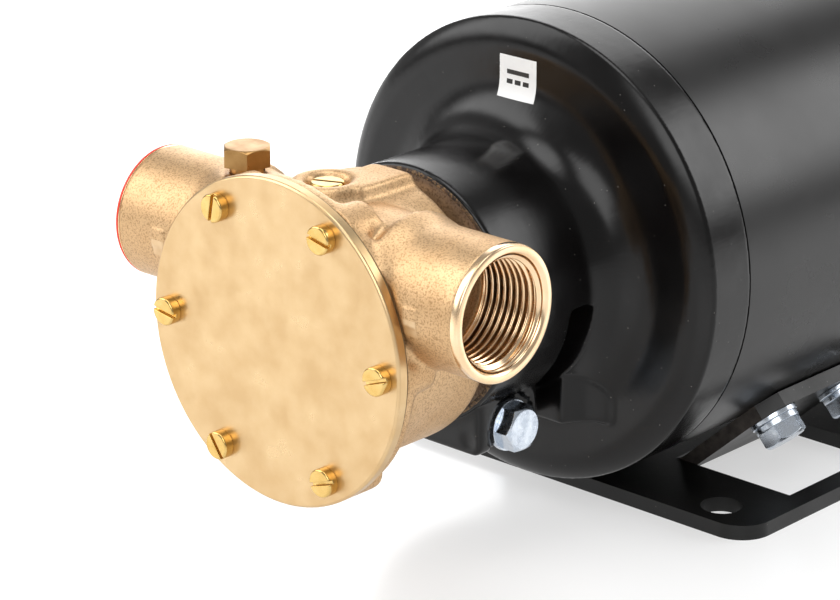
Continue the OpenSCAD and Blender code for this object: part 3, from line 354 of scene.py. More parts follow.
# Drawn steel tube under satin enamel: even soft sheen, faintly lined along the tube
SATIN_ENAMEL = Finish(
    "enamel_satin_on_tube", "#0a0909", "#0d0c0c", roughness=0.29, rough_spread=0.04, marks=Marks.DRAWN,
    patch_mm=30, grain_mm=0.7, grain_height_mm=0.004, wave_mm=16, wave_height_mm=0.02, ior=1.42,
)
# Bent steel plate, powder coated: satin black with close orange peel and grains of dust
POWDER_COAT = Finish(
    "powder_coat_on_plate", "#0b0b0b", "#0f0f0e", roughness=0.42, rough_spread=0.06, marks=Marks.SPRAYED,
    patch_mm=20, grain_mm=1.1, grain_height_mm=0.02, speck_colour="#4a4845", speck_mm=0.35, speck_gap_mm=3.0,
    ior=1.4,
)
# Sheared edge of the plate, thinly coated: rough grey brown with torn lines across its thickness
SHEARED_STEEL = Finish(
    "steel_sheared_edge", "#4a4440", "#2c2927", metallic=0.6, roughness=0.55, marks=Marks.DRAWN, line=Line.Z,
    patch_mm=3, grain_mm=0.6, grain_height_mm=0.08,
)
# Bare grey iron faced on a lathe: dull brown grey, freckled with dark pores
FACED_IRON = Finish(
    "cast_iron_faced", "#8f8276", "#766a5f", metallic=0.6, roughness=0.42, marks=Marks.CAST,
    patch_mm=6, grain_mm=0.7, grain_height_mm=0.03, pit_colour="#3d2f25", pit_share=0.7,
)
# The same face where damp has reached it: flecks of brown rust beside the paint
RUSTED_IRON = Finish(
    "cast_iron_rust_flecked", "#4c3726", "#1d1612", roughness=0.7, marks=Marks.CAST, patch_mm=1.4,
    patch_share=1.0, grain_mm=0.7, grain_height_mm=0.08, pit_colour="#9a7a52", pit_share=0.6,
)
# Low density polythene, moulded: clear red with a waxy sheen
RED_POLYTHENE = Finish(
    "polythene_red_moulded", "#f24a33", "#ea402a", roughness=0.38, patch_mm=12, grain_mm=0.7,
    grain_height_mm=0.006, ior=1.51,
)
# Printed film: flat white with a slight gloss
LABEL_FILM = Finish(
    "film_white_printed", "#ececeb", "#e6e6e6", roughness=0.32, patch_mm=6, grain_mm=0.5,
    grain_height_mm=0.002,
)
# Black printing ink on that film: matt and very slightly uneven
LABEL_INK = Finish(
    "ink_black_on_film", "#161616", "#1e1e1e", roughness=0.4, patch_mm=2, grain_mm=0.3,
    grain_height_mm=0.002,
)
# Pressed fibre gasket: brown card with a hairy edge
GASKET_FIBRE = Finish(
    "fibre_pressed_gasket", "#7d6a4c", "#695738", roughness=0.85, patch_mm=4, grain_mm=0.5,
    grain_height_mm=0.05,
)
# Stainless bar turned to size: grey with fine rings about the shaft
TURNED_STAINLESS = Finish(
    "stainless_turned", "#c4c6c9", "#b2b5b9", metallic=1.0, roughness=0.26, marks=Marks.TURNED, patch_mm=9,
    grain_mm=0.25, grain_height_mm=0.006,
)
# Bearing steel, ground: bright with almost no marks
GROUND_STEEL = Finish(
    "bearing_steel_ground", "#cfd0d3", "#c3c5c9", metallic=1.0, roughness=0.12, rough_spread=0.03,
    marks=Marks.TURNED, patch_mm=8, grain_mm=0.2, grain_height_mm=0.002,
)
# Neoprene, moulded: black with a dry bloom
NEOPRENE = Finish(
    "neoprene_moulded", "#222223", "#2e2e2f", roughness=0.62, patch_mm=7, grain_mm=0.6, grain_height_mm=0.015,
    ior=1.52,
)
# Alumina, lapped: off white and smooth
ALUMINA = Finish(
    "alumina_lapped", "#ece9e1", "#e3dfd4", roughness=0.2, patch_mm=5, grain_mm=0.3,
    grain_height_mm=0.002, ior=1.76,
)
# Carbon, pressed and lapped: dark grey with a faint shine
CARBON = Finish(
    "carbon_pressed", "#2f2f31", "#262628", roughness=0.42, patch_mm=3, grain_mm=0.35, grain_height_mm=0.01,
)
# Ferrite, sintered and ground: charcoal and dry
FERRITE = Finish(
    "ferrite_sintered", "#38383b", "#2f2f32", roughness=0.6, patch_mm=8, grain_mm=0.5, grain_height_mm=0.03,
)
# Silicon steel, a stack of 0.5 mm stampings: grey with a line at each sheet
LAMINATIONS = Finish(
    "silicon_steel_laminated", "#77797d", "#5f6165", metallic=0.9, roughness=0.42, marks=Marks.STACKED,
    patch_mm=6, grain_mm=0.5, grain_height_mm=0.05,
)
# Enamelled copper wire, wound and varnished: deep orange brown with the wires' ridges
WOUND_COPPER = Finish(
    "copper_wire_varnished", "#a4552a", "#8a4420", metallic=0.8, roughness=0.32, marks=Marks.TURNED,
    patch_mm=5, grain_mm=1.2, grain_height_mm=0.25, coat=0.4,
)
# Commutator copper, turned: pink metal with fine rings
TURNED_COPPER = Finish(
    "copper_turned", "#d48a66", "#b9714e", metallic=1.0, roughness=0.26, marks=Marks.TURNED, patch_mm=5,
    grain_mm=0.3, grain_height_mm=0.01,
)
# Phenolic board, pressed paper and resin: brown with a faint weave
PHENOLIC = Finish(
    "phenolic_board", "#6b4526", "#5a391e", roughness=0.4, patch_mm=6, grain_mm=0.7,
    grain_height_mm=0.01, ior=1.6,
)
# Milky acrylic sheet, cast smooth and lit softly from below: pale floor with faint shadows and reflections
FLOOR_ACRYLIC = Finish(
    "acrylic_white_sheet", "#bcbcbc", "#bababa", roughness=0.16, rough_spread=0.02, patch_mm=400, grain_mm=2,
    grain_height_mm=0.0005, ior=1.4, glow=0.52,
)


def make_piece(
    name: str,
    points: Sequence[Sequence[float]],
    faces: Sequence[Sequence[int]],
    finish: Finish,
    body: str = "root",
) -> bpy.types.Object:
    """Makes a smooth shaded piece from points and faces, riding on a body.

    Args:
        name: the piece's name.
        points: its points, in metres.
        faces: its faces, as lists of point numbers.
        finish: what it is made of.
        body: the CAD body that it moves with.

    Returns:
        The new object.
    """
    mesh = bpy.data.meshes.new(name)
    mesh.from_pydata([tuple(p) for p in points], [], [tuple(f) for f in faces])
    mesh.update()
    piece = bpy.data.objects.new(name, mesh)
    bpy.context.scene.collection.objects.link(piece)
    mesh.materials.append(finish.material())
    mesh.polygons.foreach_set("use_smooth", [True] * len(mesh.polygons))
    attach(piece, body)
    log.info("made %s with %d faces", name, len(mesh.polygons))
    return piece


def grid_faces(rows: int, columns: int, closed: bool = True) -> list[tuple[int, int, int, int]]:
    """Joins rows of points with quads.

    Args:
        rows: how many rows there are.
        columns: how many points a row has.
        closed: whether each row closes on itself.

    Returns:
        The quads, as point numbers.
    """
    steps = [(c, (c + 1) % columns) for c in range(columns if closed else columns - 1)]
    starts = [(r * columns, (r + 1) * columns) for r in range(rows - 1)]
    return [(low + c, low + after, high + after, high + c) for low, high in starts for c, after in steps]


def arc(middle: tuple[float, float], radius: float, first: float, last: float) -> list[tuple[float, float]]:
    """Makes the points of an arc, one for each three degrees.

    Args:
        middle: its centre.
        radius: its radius.
        first: the angle in degrees where it begins.
        last: the angle where it ends.

    Returns:
        The points, ends included.
    """
    steps = math.ceil(abs(last - first) / 3)
    angles = [math.radians(first + (last - first) * i / steps) for i in range(steps + 1)]
    return [(middle[0] + radius * math.cos(a), middle[1] + radius * math.sin(a)) for a in angles]


def merged_copy(node: str, name: str) -> bpy.types.Object:
    """Makes a loose copy of a CAD node with its split points joined.

    Args:
        node: the CAD node.
        name: the copy's name.

    Returns:
        The copy.
    """
    mesh = bpy.data.meshes.new(name)
    work = bmesh.new()
    work.from_mesh(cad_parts[node].data)
    bmesh.ops.remove_doubles(work, verts=work.verts, dist=0.002 * MM)
    work.to_mesh(mesh)
    work.free()
    piece = bpy.data.objects.new(name, mesh)
    bpy.context.scene.collection.objects.link(piece)
    return piece


def settle(piece: bpy.types.Object) -> None:
    """Applies the modifiers of a piece to its mesh.

    Args:
        piece: the piece.
    """
    evaluated = piece.evaluated_get(bpy.context.evaluated_depsgraph_get())
    mesh = bpy.data.meshes.new_from_object(evaluated)
    piece.modifiers.clear()
    piece.data = mesh


def relaxed(mesh: bpy.types.Mesh, points: np.ndarray, rounds: int, free: np.ndarray) -> np.ndarray:
    """Moves every point of a mesh towards its neighbours, which runs sharp corners together.

    Args:
        mesh: the mesh, for its edges.
        points: where its points are.
        rounds: how many times they move.
        free: how freely each may move, from 0 to 1.

    Returns:
        Where the points are then.
    """
    count = len(points)
    pairs = np.empty(len(mesh.edges) * 2, dtype=int)
    mesh.edges.foreach_get("vertices", pairs)
    first, second = pairs.reshape(-1, 2).T
    degree = np.bincount(pairs, minlength=count)
    starts, ends = np.concatenate([first, second]), np.concatenate([second, first])
    for _ in range(rounds):
        total = np.stack([np.bincount(starts, points[ends, axis], count) for axis in range(3)], axis=1)
        points = points + free[:, None] * 0.5 * (total / degree[:, None] - points)
    return points


@dataclass
class Assembly:
    """What every sub-assembly can do: dress a node as it is, or put a finer piece in its place."""

    ahead_y: float = -0.3

    def dress(self, finish: Finish, *nodes: str) -> None:
        """Gives CAD nodes a finish and leaves their shapes alone.

        Args:
            finish: what they are made of.
            *nodes: the CAD nodes.
        """
        for node in nodes:
            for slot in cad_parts[node].material_slots:
                slot.material = finish.material()
            log.info("dressed %s in %s", node, finish.name)

    def stand_in(self, piece: bpy.types.Object, node: str, finish: Finish, body: str) -> bpy.types.Object:
        """Puts a finer piece in the place of a CAD node.

        Args:
            piece: the finer piece, already in place.
            node: the CAD node that it stands for.
            finish: what it is made of.
            body: the CAD body that it moves with.

        Returns:
            The piece.
        """
        piece.data.materials.clear()
        piece.data.materials.append(finish.material())
        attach(piece, body)
        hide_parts(node)
        log.info("%s stands for %s with %d faces", piece.name, node, len(piece.data.polygons))
        return piece

    def softened(
        self, node: str, finish: Finish, edge_mm: float, body: str = "root", sharp: float = 30.0
    ) -> bpy.types.Object:
        """Copies a node with every sharp edge rounded, as real edges are.

        Args:
            node: the CAD node.
            finish: what it is made of.
            edge_mm: the width of the rounding.
            body: the CAD body that it moves with.
            sharp: the least angle between faces, in degrees, that counts as an edge.

        Returns:
            The new piece.
        """
        piece = merged_copy(node, f"{node}_edged")
        work = bmesh.new()
        work.from_mesh(piece.data)
        bmesh.ops.dissolve_limit(work, angle_limit=math.radians(0.6), verts=work.verts, edges=work.edges)
        for face in work.faces:
            face.smooth = True
        work.to_mesh(piece.data)
        work.free()
        bevel = piece.modifiers.new("edge", "BEVEL")
        bevel.width = edge_mm * MM
        bevel.segments = 3
        bevel.limit_method = "ANGLE"
        bevel.angle_limit = math.radians(sharp)
        bevel.use_clamp_overlap = True
        weighted = piece.modifiers.new("shade", "WEIGHTED_NORMAL")
        weighted.keep_sharp = False
        settle(piece)
        return self.stand_in(piece, node, finish, body)

    def laid(
        self,
        tree: BVHTree,
        name: str,
        sides: tuple[float, float],
        levels: tuple[float, float],
        lift: float,
        finish: Finish,
        slot: str,
    ) -> bpy.types.Object:
        """Makes a thin patch that lies on a surface facing the pump's front.

        Args:
            tree: the surface.
            name: the piece's name.
            sides: where it begins and ends across the pump, in metres.
            levels: its lower and upper height.
            lift: how far it stands off the surface.
            finish: what it is made of.
            slot: the name of a material slot; not used.

        Returns:
            The new piece.
        """
        steps = 16
        points = []
        for z in np.linspace(*levels, steps + 1):
            for x in np.linspace(*sides, steps + 1):
                hit, normal, _, _ = tree.ray_cast(Vector((x, self.ahead_y, z)), Vector((0, 1, 0)))
                points.append(hit + normal * lift)
        return make_piece(name, points, grid_faces(steps + 1, steps + 1, closed=False), finish)

    def cast_skin(
        self,
        node: str,
        finish: Finish,
        cell_mm: float,
        rounds: int,
        held: Callable[[np.ndarray], np.ndarray],
        trim: Callable[[np.ndarray], np.ndarray],
    ) -> bpy.types.Object:
        """Copies a node with its corners run together as in a casting.

        Args:
            node: the CAD node.
            finish: what it is made of.
            cell_mm: the size of the mesh's cells.
            rounds: how many times the surface is relaxed.
            held: for an array of points, how firmly each is held, from 0 to 1.
            trim: moves the points at the end, such as back onto a turned surface.

        Returns:
            The new piece.
        """
        piece = merged_copy(node, f"{node}_cast")
        remesh = piece.modifiers.new("cells", "REMESH")
        remesh.mode = "VOXEL"
        remesh.voxel_size = cell_mm * MM
        settle(piece)
        mesh = piece.data
        points = np.empty(len(mesh.vertices) * 3)
        mesh.vertices.foreach_get("co", points)
        points = points.reshape(-1, 3)
        points = trim(relaxed(mesh, points, rounds, 1.0 - np.clip(held(points), 0.0, 1.0)))
        mesh.vertices.foreach_set("co", points.ravel())
        mesh.polygons.foreach_set("use_smooth", [True] * len(mesh.polygons))
        mesh.update()
        return self.stand_in(piece, node, finish, "root")


@dataclass
class PumpHead(Assembly):
    """The bronze head: cover, screws, gasket, body, ports and plugs."""

    bore_root_r: float = 16.65 * MM
    bore_crest_r: float = 15.15 * MM
    pitch: float = 2.309 * MM
    thread_l: float = 23.0 * MM
    thread_behind: float = 0.9 * MM
    thread_columns: int = 96
    thread_rows_per_turn: int = 14
    lead_in_turns: float = 0.8
    run_out_turns: float = 1.5
    ridge_height: float = 1.25
    ridge_slope: float = 3.4
    mouth_x: float = 67.5 * MM
    mouth_columns: int = 128
    right_band: float = 64.9 * MM
    left_band: float = 66.9 * MM
    port_r: float = 20.0 * MM
    under_band: float = 0.45 * MM
    under_ring: float = 0.5 * MM
    wall_r: float = 18.3 * MM
    bored_x: float = 43.0 * MM
    bored_r: float = 17.3 * MM
    water_r: float = 15.5 * MM
    body_front: float = -181.4 * MM
    body_back: float = -137.8 * MM
    front_fade: float = 1.2 * MM
    back_fade: float = 2.0 * MM
    mouth_fade: float = 1.5 * MM
    mouth_held_x: float = 64.0 * MM
    pad_x: float = 50.0 * MM
    pad_half: float = 2.5 * MM
    pad_drop: float = 3.0 * MM
    pad_lift: float = 0.03 * MM

    def build(self) -> None:
        """Makes the head's pieces."""
        self.softened("end_cover", LAPPED_BRONZE, 0.35)
        self.softened("cover_screws", BRIGHT_BRASS, 0.22, sharp=40)
        self.dress(GASKET_FIBRE, "cover_gasket")
        body = self.cast_skin("pump_body", CAST_BRONZE, 0.7, 20, self.held, self.trim)
        skin = BVHTree.FromObject(body, bpy.context.evaluated_depsgraph_get())
        self.softened("priming_plug", DRAWN_BRASS, 0.2)
        self.softened("cam_screw", BRIGHT_BRASS, 0.25)
        self.softened("transit_plug", RED_POLYTHENE, 0.15, body="plug")
        for side, word, band in ((1, "right", self.right_band), (-1, "left", self.left_band)):
            self.mouth(side, word, band)
            self.thread(side, word)
            self.pad(skin, side, word)

    def held(self, points: np.ndarray) -> np.ndarray:
        """Holds the gasket face, the spigot and the port mouths.

        Args:
            points: the casting's points.

        Returns:
            How firmly each is held.
        """
        front = 1.0 - (points[:, 1] - self.body_front) / self.front_fade
        back = (points[:, 1] - self.body_back) / self.back_fade
        mouth = (np.abs(points[:, 0]) - self.mouth_held_x) / self.mouth_fade
        return np.maximum.reduce([front, back, mouth])

    def trim(self, points: np.ndarray) -> np.ndarray:
        """Draws the port mouths back under their machined rings, and the bores back behind the threads.

        Args:
            points: the casting's points.

        Returns:
            The moved points.
        """
        away = points[:, 1:] - np.array([PORT_Y, PORT_Z])
        radius = np.hypot(away[:, 0], away[:, 1])
        side = np.sign(points[:, 0])
        far = np.abs(points[:, 0])
        outside = (far > np.where(side > 0, self.right_band, self.left_band)) & (radius > self.wall_r)
        inside = (far > self.bored_x) & (radius <= self.wall_r)
        wanted = np.where(outside, np.minimum(radius, self.port_r - self.under_band), radius)
        wanted = np.where(inside & (radius > self.water_r), np.maximum(radius, self.bored_r), wanted)
        points[:, 1:] = np.array([PORT_Y, PORT_Z]) + away * (wanted / np.maximum(radius, 1e-9))[:, None]
        points[:, 0] = side * np.minimum(far, self.mouth_x - self.under_ring)
        return points

    def port_point(self, side: int, along: float, radius: float, angle: float) -> Vector:
        """Finds a point of a port's turned surface.

        Args:
            side: 1 for the right port, -1 for the left.
            along: the distance from the pump's middle plane.
            radius: the distance from the port's line.
            angle: the angle about that line.

        Returns:
            The point.
        """
        return Vector((side * along, PORT_Y + radius * math.cos(angle), PORT_Z + radius * math.sin(angle)))

    def mouth(self, side: int, word: str, band: float) -> None:
        """Makes the machined ring around a port's mouth: a bright band, a flat face and the thread's lead.

        Args:
            side: 1 for the right port, -1 for the left.
            word: the side in words.
            band: how far from the pump's middle plane the turned band begins.
        """
        start = band / MM
        outer = [(start, 19.3), (start + 0.1, 19.95), (start + 0.2, 20.0), (67.1, 19.88), (67.2, 19.85)]
        face = [(67.46, 19.6), (67.5, 19.54), (67.5, 17.75), (67.47, 17.68)]
        lead = [(67.0, 17.2), (66.9, 17.1), (66.2, 16.66), (65.6, 16.9)]
        points = [
            self.port_point(side, along_mm * MM, radius_mm * MM, 2 * math.pi * c / self.mouth_columns)
            for along_mm, radius_mm in outer + face + lead
            for c in range(self.mouth_columns)
        ]
        faces = grid_faces(len(outer + face + lead), self.mouth_columns)
        make_piece(f"{word}_port_mouth", points, faces, TURNED_BRONZE)

    def thread(self, side: int, word: str) -> None:
        """Makes the turns of a port's pipe thread, as a wall whose radius follows the helix.

        Args:
            side: 1 for the right port, -1 for the left.
            word: the side in words.
        """
        columns = self.thread_columns
        rows = int(self.thread_l / self.pitch * self.thread_rows_per_turn)
        height = self.bore_root_r - self.bore_crest_r
        points = []
        for r in range(rows + 1):
            along = r / self.thread_rows_per_turn * self.pitch
            lead_in = along / (self.lead_in_turns * self.pitch)
            run_out = (self.thread_l - along) / (self.run_out_turns * self.pitch)
            fade = max(0.0, min(1.0, lead_in, run_out))
            for c in range(columns):
                share = (along / self.pitch - side * c / columns) % 1.0
                ridge = min(1.0, max(0.0, self.ridge_height - abs(share - 0.5) * self.ridge_slope))
                radius = self.bore_root_r - height * ridge * fade
                turn = 2 * math.pi * c / columns
                points.append(self.port_point(side, self.mouth_x - self.thread_behind - along, radius, turn))
        faces = grid_faces(rows + 1, columns)
        make_piece(f"{word}_port_thread", points, faces, TURNED_BRONZE)

    def pad(self, skin: BVHTree, side: int, word: str) -> None:
        """Makes the small smooth square that a file left on the front of a port's root.

        Args:
            skin: the body's surface.
            side: 1 for the right port, -1 for the left.
            word: the side in words.
        """
        sides = sorted(side * (self.pad_x + end * self.pad_half) for end in (-1, 1))
        middle = PORT_Z - self.pad_drop
        levels = (middle - self.pad_half, middle + self.pad_half)
        name = f"{word}_port_pad"
        self.laid(skin, name, tuple(sides), levels, self.pad_lift, FILED_BRONZE, "machined_bronze")


@dataclass
class WetEnd(Assembly):
    """What works inside the head: cam, impeller and shaft seals."""

    def build(self) -> None:
        """Dresses the pieces inside the head."""
        self.dress(TURNED_BRONZE, "cam")
        self.dress(TURNED_STAINLESS, "wear_plate", "drive_key", "seal_spring", "seal_collar")
        self.dress(NEOPRENE, "impeller", "seat_cup", "seal_bellows", "lip_seal", "slinger")
        self.dress(BRIGHT_BRASS, "impeller_insert")
        self.dress(ALUMINA, "seal_seat")
        self.dress(CARBON, "seal_head")


@dataclass
class FrontBell(Assembly):
    """The enamelled front bell with its clamping neck, foot, bolt and label. Sizes in millimetres."""

    neck_front: float = -129.2
    neck_r: float = 39.7
    neck_edge: float = 0.9
    rust_w: float = 1.2
    spigot_r: float = 31.75
    spigot_l: float = 30.0
    bore_fade: float = 0.9
    face_y: float = -79.8
    tube_r: float = 73.0
    seam_y: float = -58.8
    seam_gap: float = 0.45
    seam_fade: float = 2.0
    near: float = 0.9
    near_fade: float = 0.5
    rim_r: float = 12.5
    rim_edge_r: float = 1.0
    rim_turn: float = 45.0
    fillet_share: float = 0.66
    label_x: float = -0.4
    label_z: float = 55.35
    label_w: float = 14.5
    label_h: float = 12.99
    film_lift: float = 0.12
    ink_lift: float = 0.03

    def build(self) -> None:
        """Makes the bell's pieces."""
        bell = self.cast_skin("front_bell", GLOSS_ENAMEL, 0.8, 7, self.held, self.turned)
        self.softened("clamp_bolt", ZINC_STEEL, 0.12)
        self.softened("clamp_washer", ZINC_STEEL, 0.2)
        self.neck_face()
        self.label(bell)

    def outline(self) -> np.ndarray:
        """Works out the bell's outer outline, from the neck's front edge to the seam.

        Returns:
            Points with their place along the shaft and their distance from it.
        """
        turn = math.radians(self.rim_turn)
        inner = self.rim_r - self.rim_edge_r
        middle = self.tube_r - self.rim_edge_r - inner * math.cos(turn)
        fillet = (middle - self.neck_r) * self.fillet_share
        edge_y = self.face_y + self.rim_r - inner * math.sin(turn)
        points = [(self.neck_front, self.neck_r - self.neck_edge)]
        points += [(self.neck_front + self.neck_edge, self.neck_r)]
        points += arc((self.face_y - fillet, self.neck_r + fillet), fillet, -90, 0)
        points += arc((self.face_y + self.rim_r, middle), self.rim_r, 180, 180 - self.rim_turn)
        points += arc((edge_y, self.tube_r - self.rim_edge_r), self.rim_edge_r, 90 + self.rim_turn, 90)[1:]
        points += [(self.seam_y - self.seam_gap, self.tube_r), (self.seam_y, self.tube_r - self.seam_gap)]
        return np.array(points)

    def held(self, points: np.ndarray) -> np.ndarray:
        """Holds the seam to the tube and the neck's bored front.

        Args:
            points: the casting's points.

        Returns:
            How firmly each is held.
        """
        seam = 1.0 + (points[:, 1] / MM - self.seam_y) / self.seam_fade
        radius = np.hypot(points[:, 0], points[:, 2] - AXIS_Z) / MM
        bore = 1.0 - np.abs(radius - self.spigot_r) / self.bore_fade
        return np.maximum(seam, np.where(points[:, 1] / MM < self.neck_front + self.spigot_l, bore, 0.0))

    def turned(self, points: np.ndarray) -> np.ndarray:
        """Brings the points near the bell's outline exactly onto it, and leaves the foot and windows alone.

        Args:
            points: the casting's points.

        Returns:
            The moved points.
        """
        radius = np.hypot(points[:, 0], points[:, 2] - AXIS_Z)
        flat = np.stack([points[:, 1], radius], axis=1) / MM
        nearest = flat.copy()
        least = np.full(len(flat), np.inf)
        outline = self.outline()
        for start, end in zip(outline[:-1], outline[1:]):
            run = end - start
            share = np.clip((flat - start) @ run / (run @ run), 0.0, 1.0)
            spot = start + share[:, None] * run
            gap = np.hypot(*(flat - spot).T)
            closer = gap < least
            nearest[closer] = spot[closer]
            least = np.minimum(gap, least)
        pull = np.clip((self.near - least) / self.near_fade, 0.0, 1.0)[:, None]
        moved = flat + pull * (nearest - flat)
        wider = moved[:, 1] * MM / np.maximum(radius, 1e-9)
        points[:, 0] *= wider
        points[:, 2] = AXIS_Z + (points[:, 2] - AXIS_Z) * wider
        points[:, 1] = moved[:, 0] * MM
        return points

    def ring(self, name: str, outline: Sequence[tuple[float, float]], finish: Finish) -> None:
        """Makes a ring on the neck's front.

        Args:
            name: its name.
            outline: its distances from the shaft and behind the neck's front.
            finish: what it is made of.
        """
        columns = 160
        points = [
            (r * MM * math.sin(a), (self.neck_front + y) * MM, AXIS_Z + r * MM * math.cos(a))
            for r, y in outline
            for a in (2 * math.pi * c / columns for c in range(columns))
        ]
        make_piece(name, points, grid_faces(len(outline), columns), finish)

    def neck_face(self) -> None:
        """Makes the bare ring faced on the front of the neck, with rust flecks along the paint."""
        inner, outer = self.spigot_r + 0.1, self.neck_r - self.neck_edge
        border = outer - self.rust_w
        self.ring("neck_front_face", [(inner, 0.5), (inner + 0.1, -0.05), (border, -0.06)], FACED_IRON)
        self.ring("neck_front_border", [(border, -0.06), (outer, -0.06), (outer + 0.1, 0.1)], RUSTED_IRON)

    def label(self, bell: bpy.types.Object) -> None:
        """Lays a plain label with the sign for direct current on the bell's surface.

        Args:
            bell: the piece that carries it.
        """
        tree = BVHTree.FromObject(bell, bpy.context.evaluated_depsgraph_get())
        film, ink = self.film_lift, self.film_lift + self.ink_lift
        marks = [("voltage_label_film", (-0.5, 0.5), (-0.5, 0.5), film, LABEL_FILM)]
        marks.append(("label_sign_bar", (-0.3, 0.3), (0.06, 0.17), ink, LABEL_INK))
        for i in range(3):
            left = -0.3 + i * 0.22
            marks.append((f"label_sign_dash_{i + 1}", (left, left + 0.16), (-0.17, -0.06), ink, LABEL_INK))
        # Each mark's sides and levels are shares of the label's width and height from its middle
        for name, sides, levels, lift_mm, finish in marks:
            across = tuple((self.label_x + share * self.label_w) * MM for share in sides)
            up = tuple(AXIS_Z + (self.label_z + share * self.label_h) * MM for share in levels)
            piece = self.laid(tree, name, across, up, lift_mm * MM, finish, "label_film")
            if finish is LABEL_FILM:
                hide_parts("voltage_label")


@dataclass
class Motor(Assembly):
    """The motor behind the bell: tube, rear bell, and what turns inside."""

    def build(self) -> None:
        """Dresses the motor's pieces."""
        self.softened("motor_tube", SATIN_ENAMEL, 0.5)
        self.softened("rear_bell", GLOSS_ENAMEL, 0.6)
        self.softened("tie_bolts", ZINC_STEEL, 0.25)
        self.softened("cable_grommet", NEOPRENE, 0.4)
        self.dress(TURNED_STAINLESS, "motor_shaft", "wave_spring", "brush_springs")
        self.dress(FERRITE, "magnets")
        self.dress(LAMINATIONS, "armature_core")
        self.dress(WOUND_COPPER, "windings")
        self.dress(TURNED_COPPER, "commutator")
        self.dress(PHENOLIC, "brush_plate")
        self.dress(DRAWN_BRASS, "brush_holders")
        self.dress(CARBON, "brushes")


@dataclass
class Bearings(Assembly):
    """The two ball bearings of the shaft."""

    def build(self) -> None:
        """Dresses the bearings' pieces."""
        for place in ("front", "rear"):
            self.dress(GROUND_STEEL, f"{place}_outer_race", f"{place}_inner_race", f"{place}_balls")
            self.dress(BRIGHT_BRASS, f"{place}_cage")


@dataclass
class Base(Assembly):
    """The bent base plate and the bolts that hold the motor to its tongues."""

    tongue_half_l: float = 25.5 * MM
    plate_t: float = 4.8 * MM
    side_gap: float = 0.25 * MM

    def build(self) -> None:
        """Makes the base's pieces."""
        plate = self.softened("base_plate", POWDER_COAT, 0.45)
        self.cut_edges(plate)
        self.softened("foot_bolts", ZINC_STEEL, 0.2)
        self.softened("spring_washers", ZINC_STEEL, 0.25)
        self.softened("flat_washers", ZINC_STEEL, 0.25)

    def cut_edges(self, plate: bpy.types.Object) -> None:
        """Gives the sheared sides of the tongues their rough finish.

        Args:
            plate: the base plate's piece.
        """
        plate.data.materials.append(SHEARED_STEEL.material())
        for face in plate.data.polygons:
            at_side = abs(abs(face.center.y) - self.tongue_half_l) < self.side_gap
            faces_sideways = abs(face.normal.y) > 0.9
            if at_side and faces_sideways and face.center.z > 1.2 * self.plate_t:
                face.material_index = 1


@dataclass(frozen=True)
class Softbox:
    """A soft bright panel of the studio's surroundings, by direction in degrees.

    Azimuth 0 is along the shaft to the motor's rear, and 90 is to the right port's side.
    """

    azimuth: float
    elevation: float
    half_width: float
    half_height: float
    strength: float
    edge: float = 7.0

    def share(self, tree: Tree, azimuth: Socket, elevation: Socket) -> Socket:
        """Works out how much of the panel is seen in a direction.

        Args:
            tree: the surroundings' node tree.
            azimuth: the direction's azimuth in radians.
            elevation: the direction's elevation in radians.

        Returns:
            A share from 0, beside the panel, to 1, on it.
        """
        windows = []
        for angle, middle, half in (
            (azimuth, self.azimuth, self.half_width),
            (elevation, self.elevation, self.half_height),
        ):
            away = add_node(tree, "ShaderNodeMath", {0: angle, 1: math.radians(middle)}, operation="SUBTRACT")
            off = add_node(tree, "ShaderNodeMath", {0: away.outputs[0]}, operation="ABSOLUTE").outputs[0]
            window = {
                "Value": off,
                "From Min": math.radians(half - self.edge),
                "From Max": math.radians(half + self.edge),
                "To Min": 1.0,
                "To Max": 0.0,
            }
            faded = add_node(tree, "ShaderNodeMapRange", window, interpolation_type="SMOOTHSTEP")
            windows.append(faded.outputs["Result"])
        return add_node(
            tree, "ShaderNodeMath", {0: windows[0], 1: windows[1]}, operation="MULTIPLY"
        ).outputs[0]


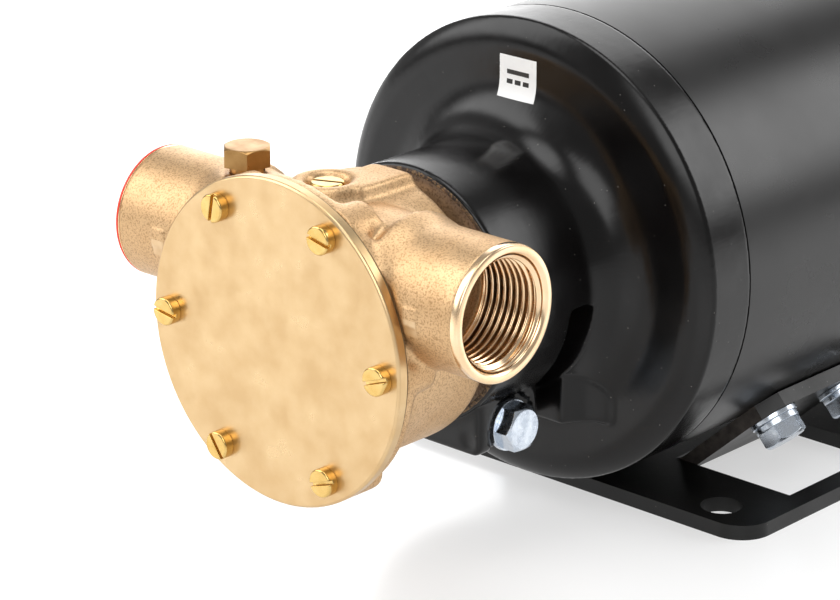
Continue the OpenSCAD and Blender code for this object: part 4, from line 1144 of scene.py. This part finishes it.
@dataclass
class Studio:
    """The pale floor, the soft surroundings and the camera at the photograph's angle."""

    place: Vector = field(default_factory=lambda: Vector((0.66335, -0.84455, 0.43569)))
    azimuth: float = 43.36
    elevation: float = 19.57
    roll: float = -0.35
    lens: float = 150.5
    shift_x: float = 0.0503
    shift_y: float = -0.0288
    air_strength: float = 0.4
    softboxes: tuple[Softbox, ...] = (
        Softbox(azimuth=-32, elevation=20, half_width=24, half_height=24, strength=2.3),
        Softbox(azimuth=31, elevation=24, half_width=14, half_height=16, strength=4.4),
        Softbox(azimuth=-124, elevation=36, half_width=20, half_height=25, strength=3.9),
        Softbox(azimuth=150, elevation=36, half_width=20, half_height=18, strength=3.6),
        Softbox(azimuth=0, elevation=90, half_width=200, half_height=17, strength=4.0),
    )

    def build(self) -> None:
        """Sets the stage."""
        self.floor()
        self.air()
        self.camera()
        bpy.context.scene.view_settings.view_transform = "Standard"

    def floor(self) -> None:
        """Lays a large white sheet under the base plate."""
        half = 4.0
        steps = 8
        points = [
            (-half + 2 * half * c / steps, -half + 2 * half * r / steps, 0.0)
            for r in range(steps + 1)
            for c in range(steps + 1)
        ]
        mesh = bpy.data.meshes.new("studio_floor")
        mesh.from_pydata(points, [], grid_faces(steps + 1, steps + 1, closed=False))
        sheet = bpy.data.objects.new("studio_floor", mesh)
        bpy.context.scene.collection.objects.link(sheet)
        mesh.materials.append(FLOOR_ACRYLIC.material())

    def air(self) -> None:
        """Makes the surroundings: an even pale glow with the softboxes in it."""
        world = bpy.data.worlds.new("studio_air")
        bpy.context.scene.world = world
        world.use_nodes = True
        tree = world.node_tree
        tree.nodes.clear()
        way = add_node(tree, "ShaderNodeTexCoord").outputs["Generated"]
        parts = add_node(tree, "ShaderNodeSeparateXYZ", {0: way}).outputs
        flat = {0: parts["X"], 1: parts["Y"]}
        azimuth = add_node(tree, "ShaderNodeMath", flat, operation="ARCTAN2").outputs[0]
        elevation = add_node(tree, "ShaderNodeMath", {0: parts["Z"]}, operation="ARCSINE").outputs[0]
        light = self.air_strength
        for box in self.softboxes:
            links = {0: box.share(tree, azimuth, elevation), 1: box.strength, 2: light}
            light = add_node(tree, "ShaderNodeMath", links, operation="MULTIPLY_ADD").outputs[0]
        glow = add_node(tree, "ShaderNodeBackground", {"Color": (1.0, 1.0, 1.0, 1.0), "Strength": light})
        add_node(tree, "ShaderNodeOutputWorld", {"Surface": glow.outputs["Background"]})

    def camera(self) -> None:
        """Places the camera, fitted to the photograph's view."""
        data = bpy.data.cameras.new("studio_camera")
        data.sensor_width = 36.0
        data.lens = self.lens
        data.shift_x = self.shift_x
        data.shift_y = self.shift_y
        data.clip_start = 0.05
        data.clip_end = 20.0
        camera = bpy.data.objects.new("studio_camera", data)
        bpy.context.scene.collection.objects.link(camera)
        a, e = math.radians(self.azimuth), math.radians(self.elevation)
        back = Vector((math.sin(a) * math.cos(e), -math.cos(a) * math.cos(e), math.sin(e)))
        turn = (-back).to_track_quat("-Z", "Y").to_matrix() @ Matrix.Rotation(math.radians(self.roll), 3, "Z")
        camera.location = self.place
        camera.rotation_mode = "QUATERNION"
        camera.rotation_quaternion = turn.to_quaternion()
        bpy.context.scene.camera = camera


def main() -> None:
    """Builds the sub-assemblies in order, then the studio."""
    for assembly in (PumpHead(), WetEnd(), FrontBell(), Motor(), Bearings(), Base()):
        log.info("building %s", type(assembly).__name__)
        assembly.build()
    Studio().build()


if __name__ == "__main__":
    main()
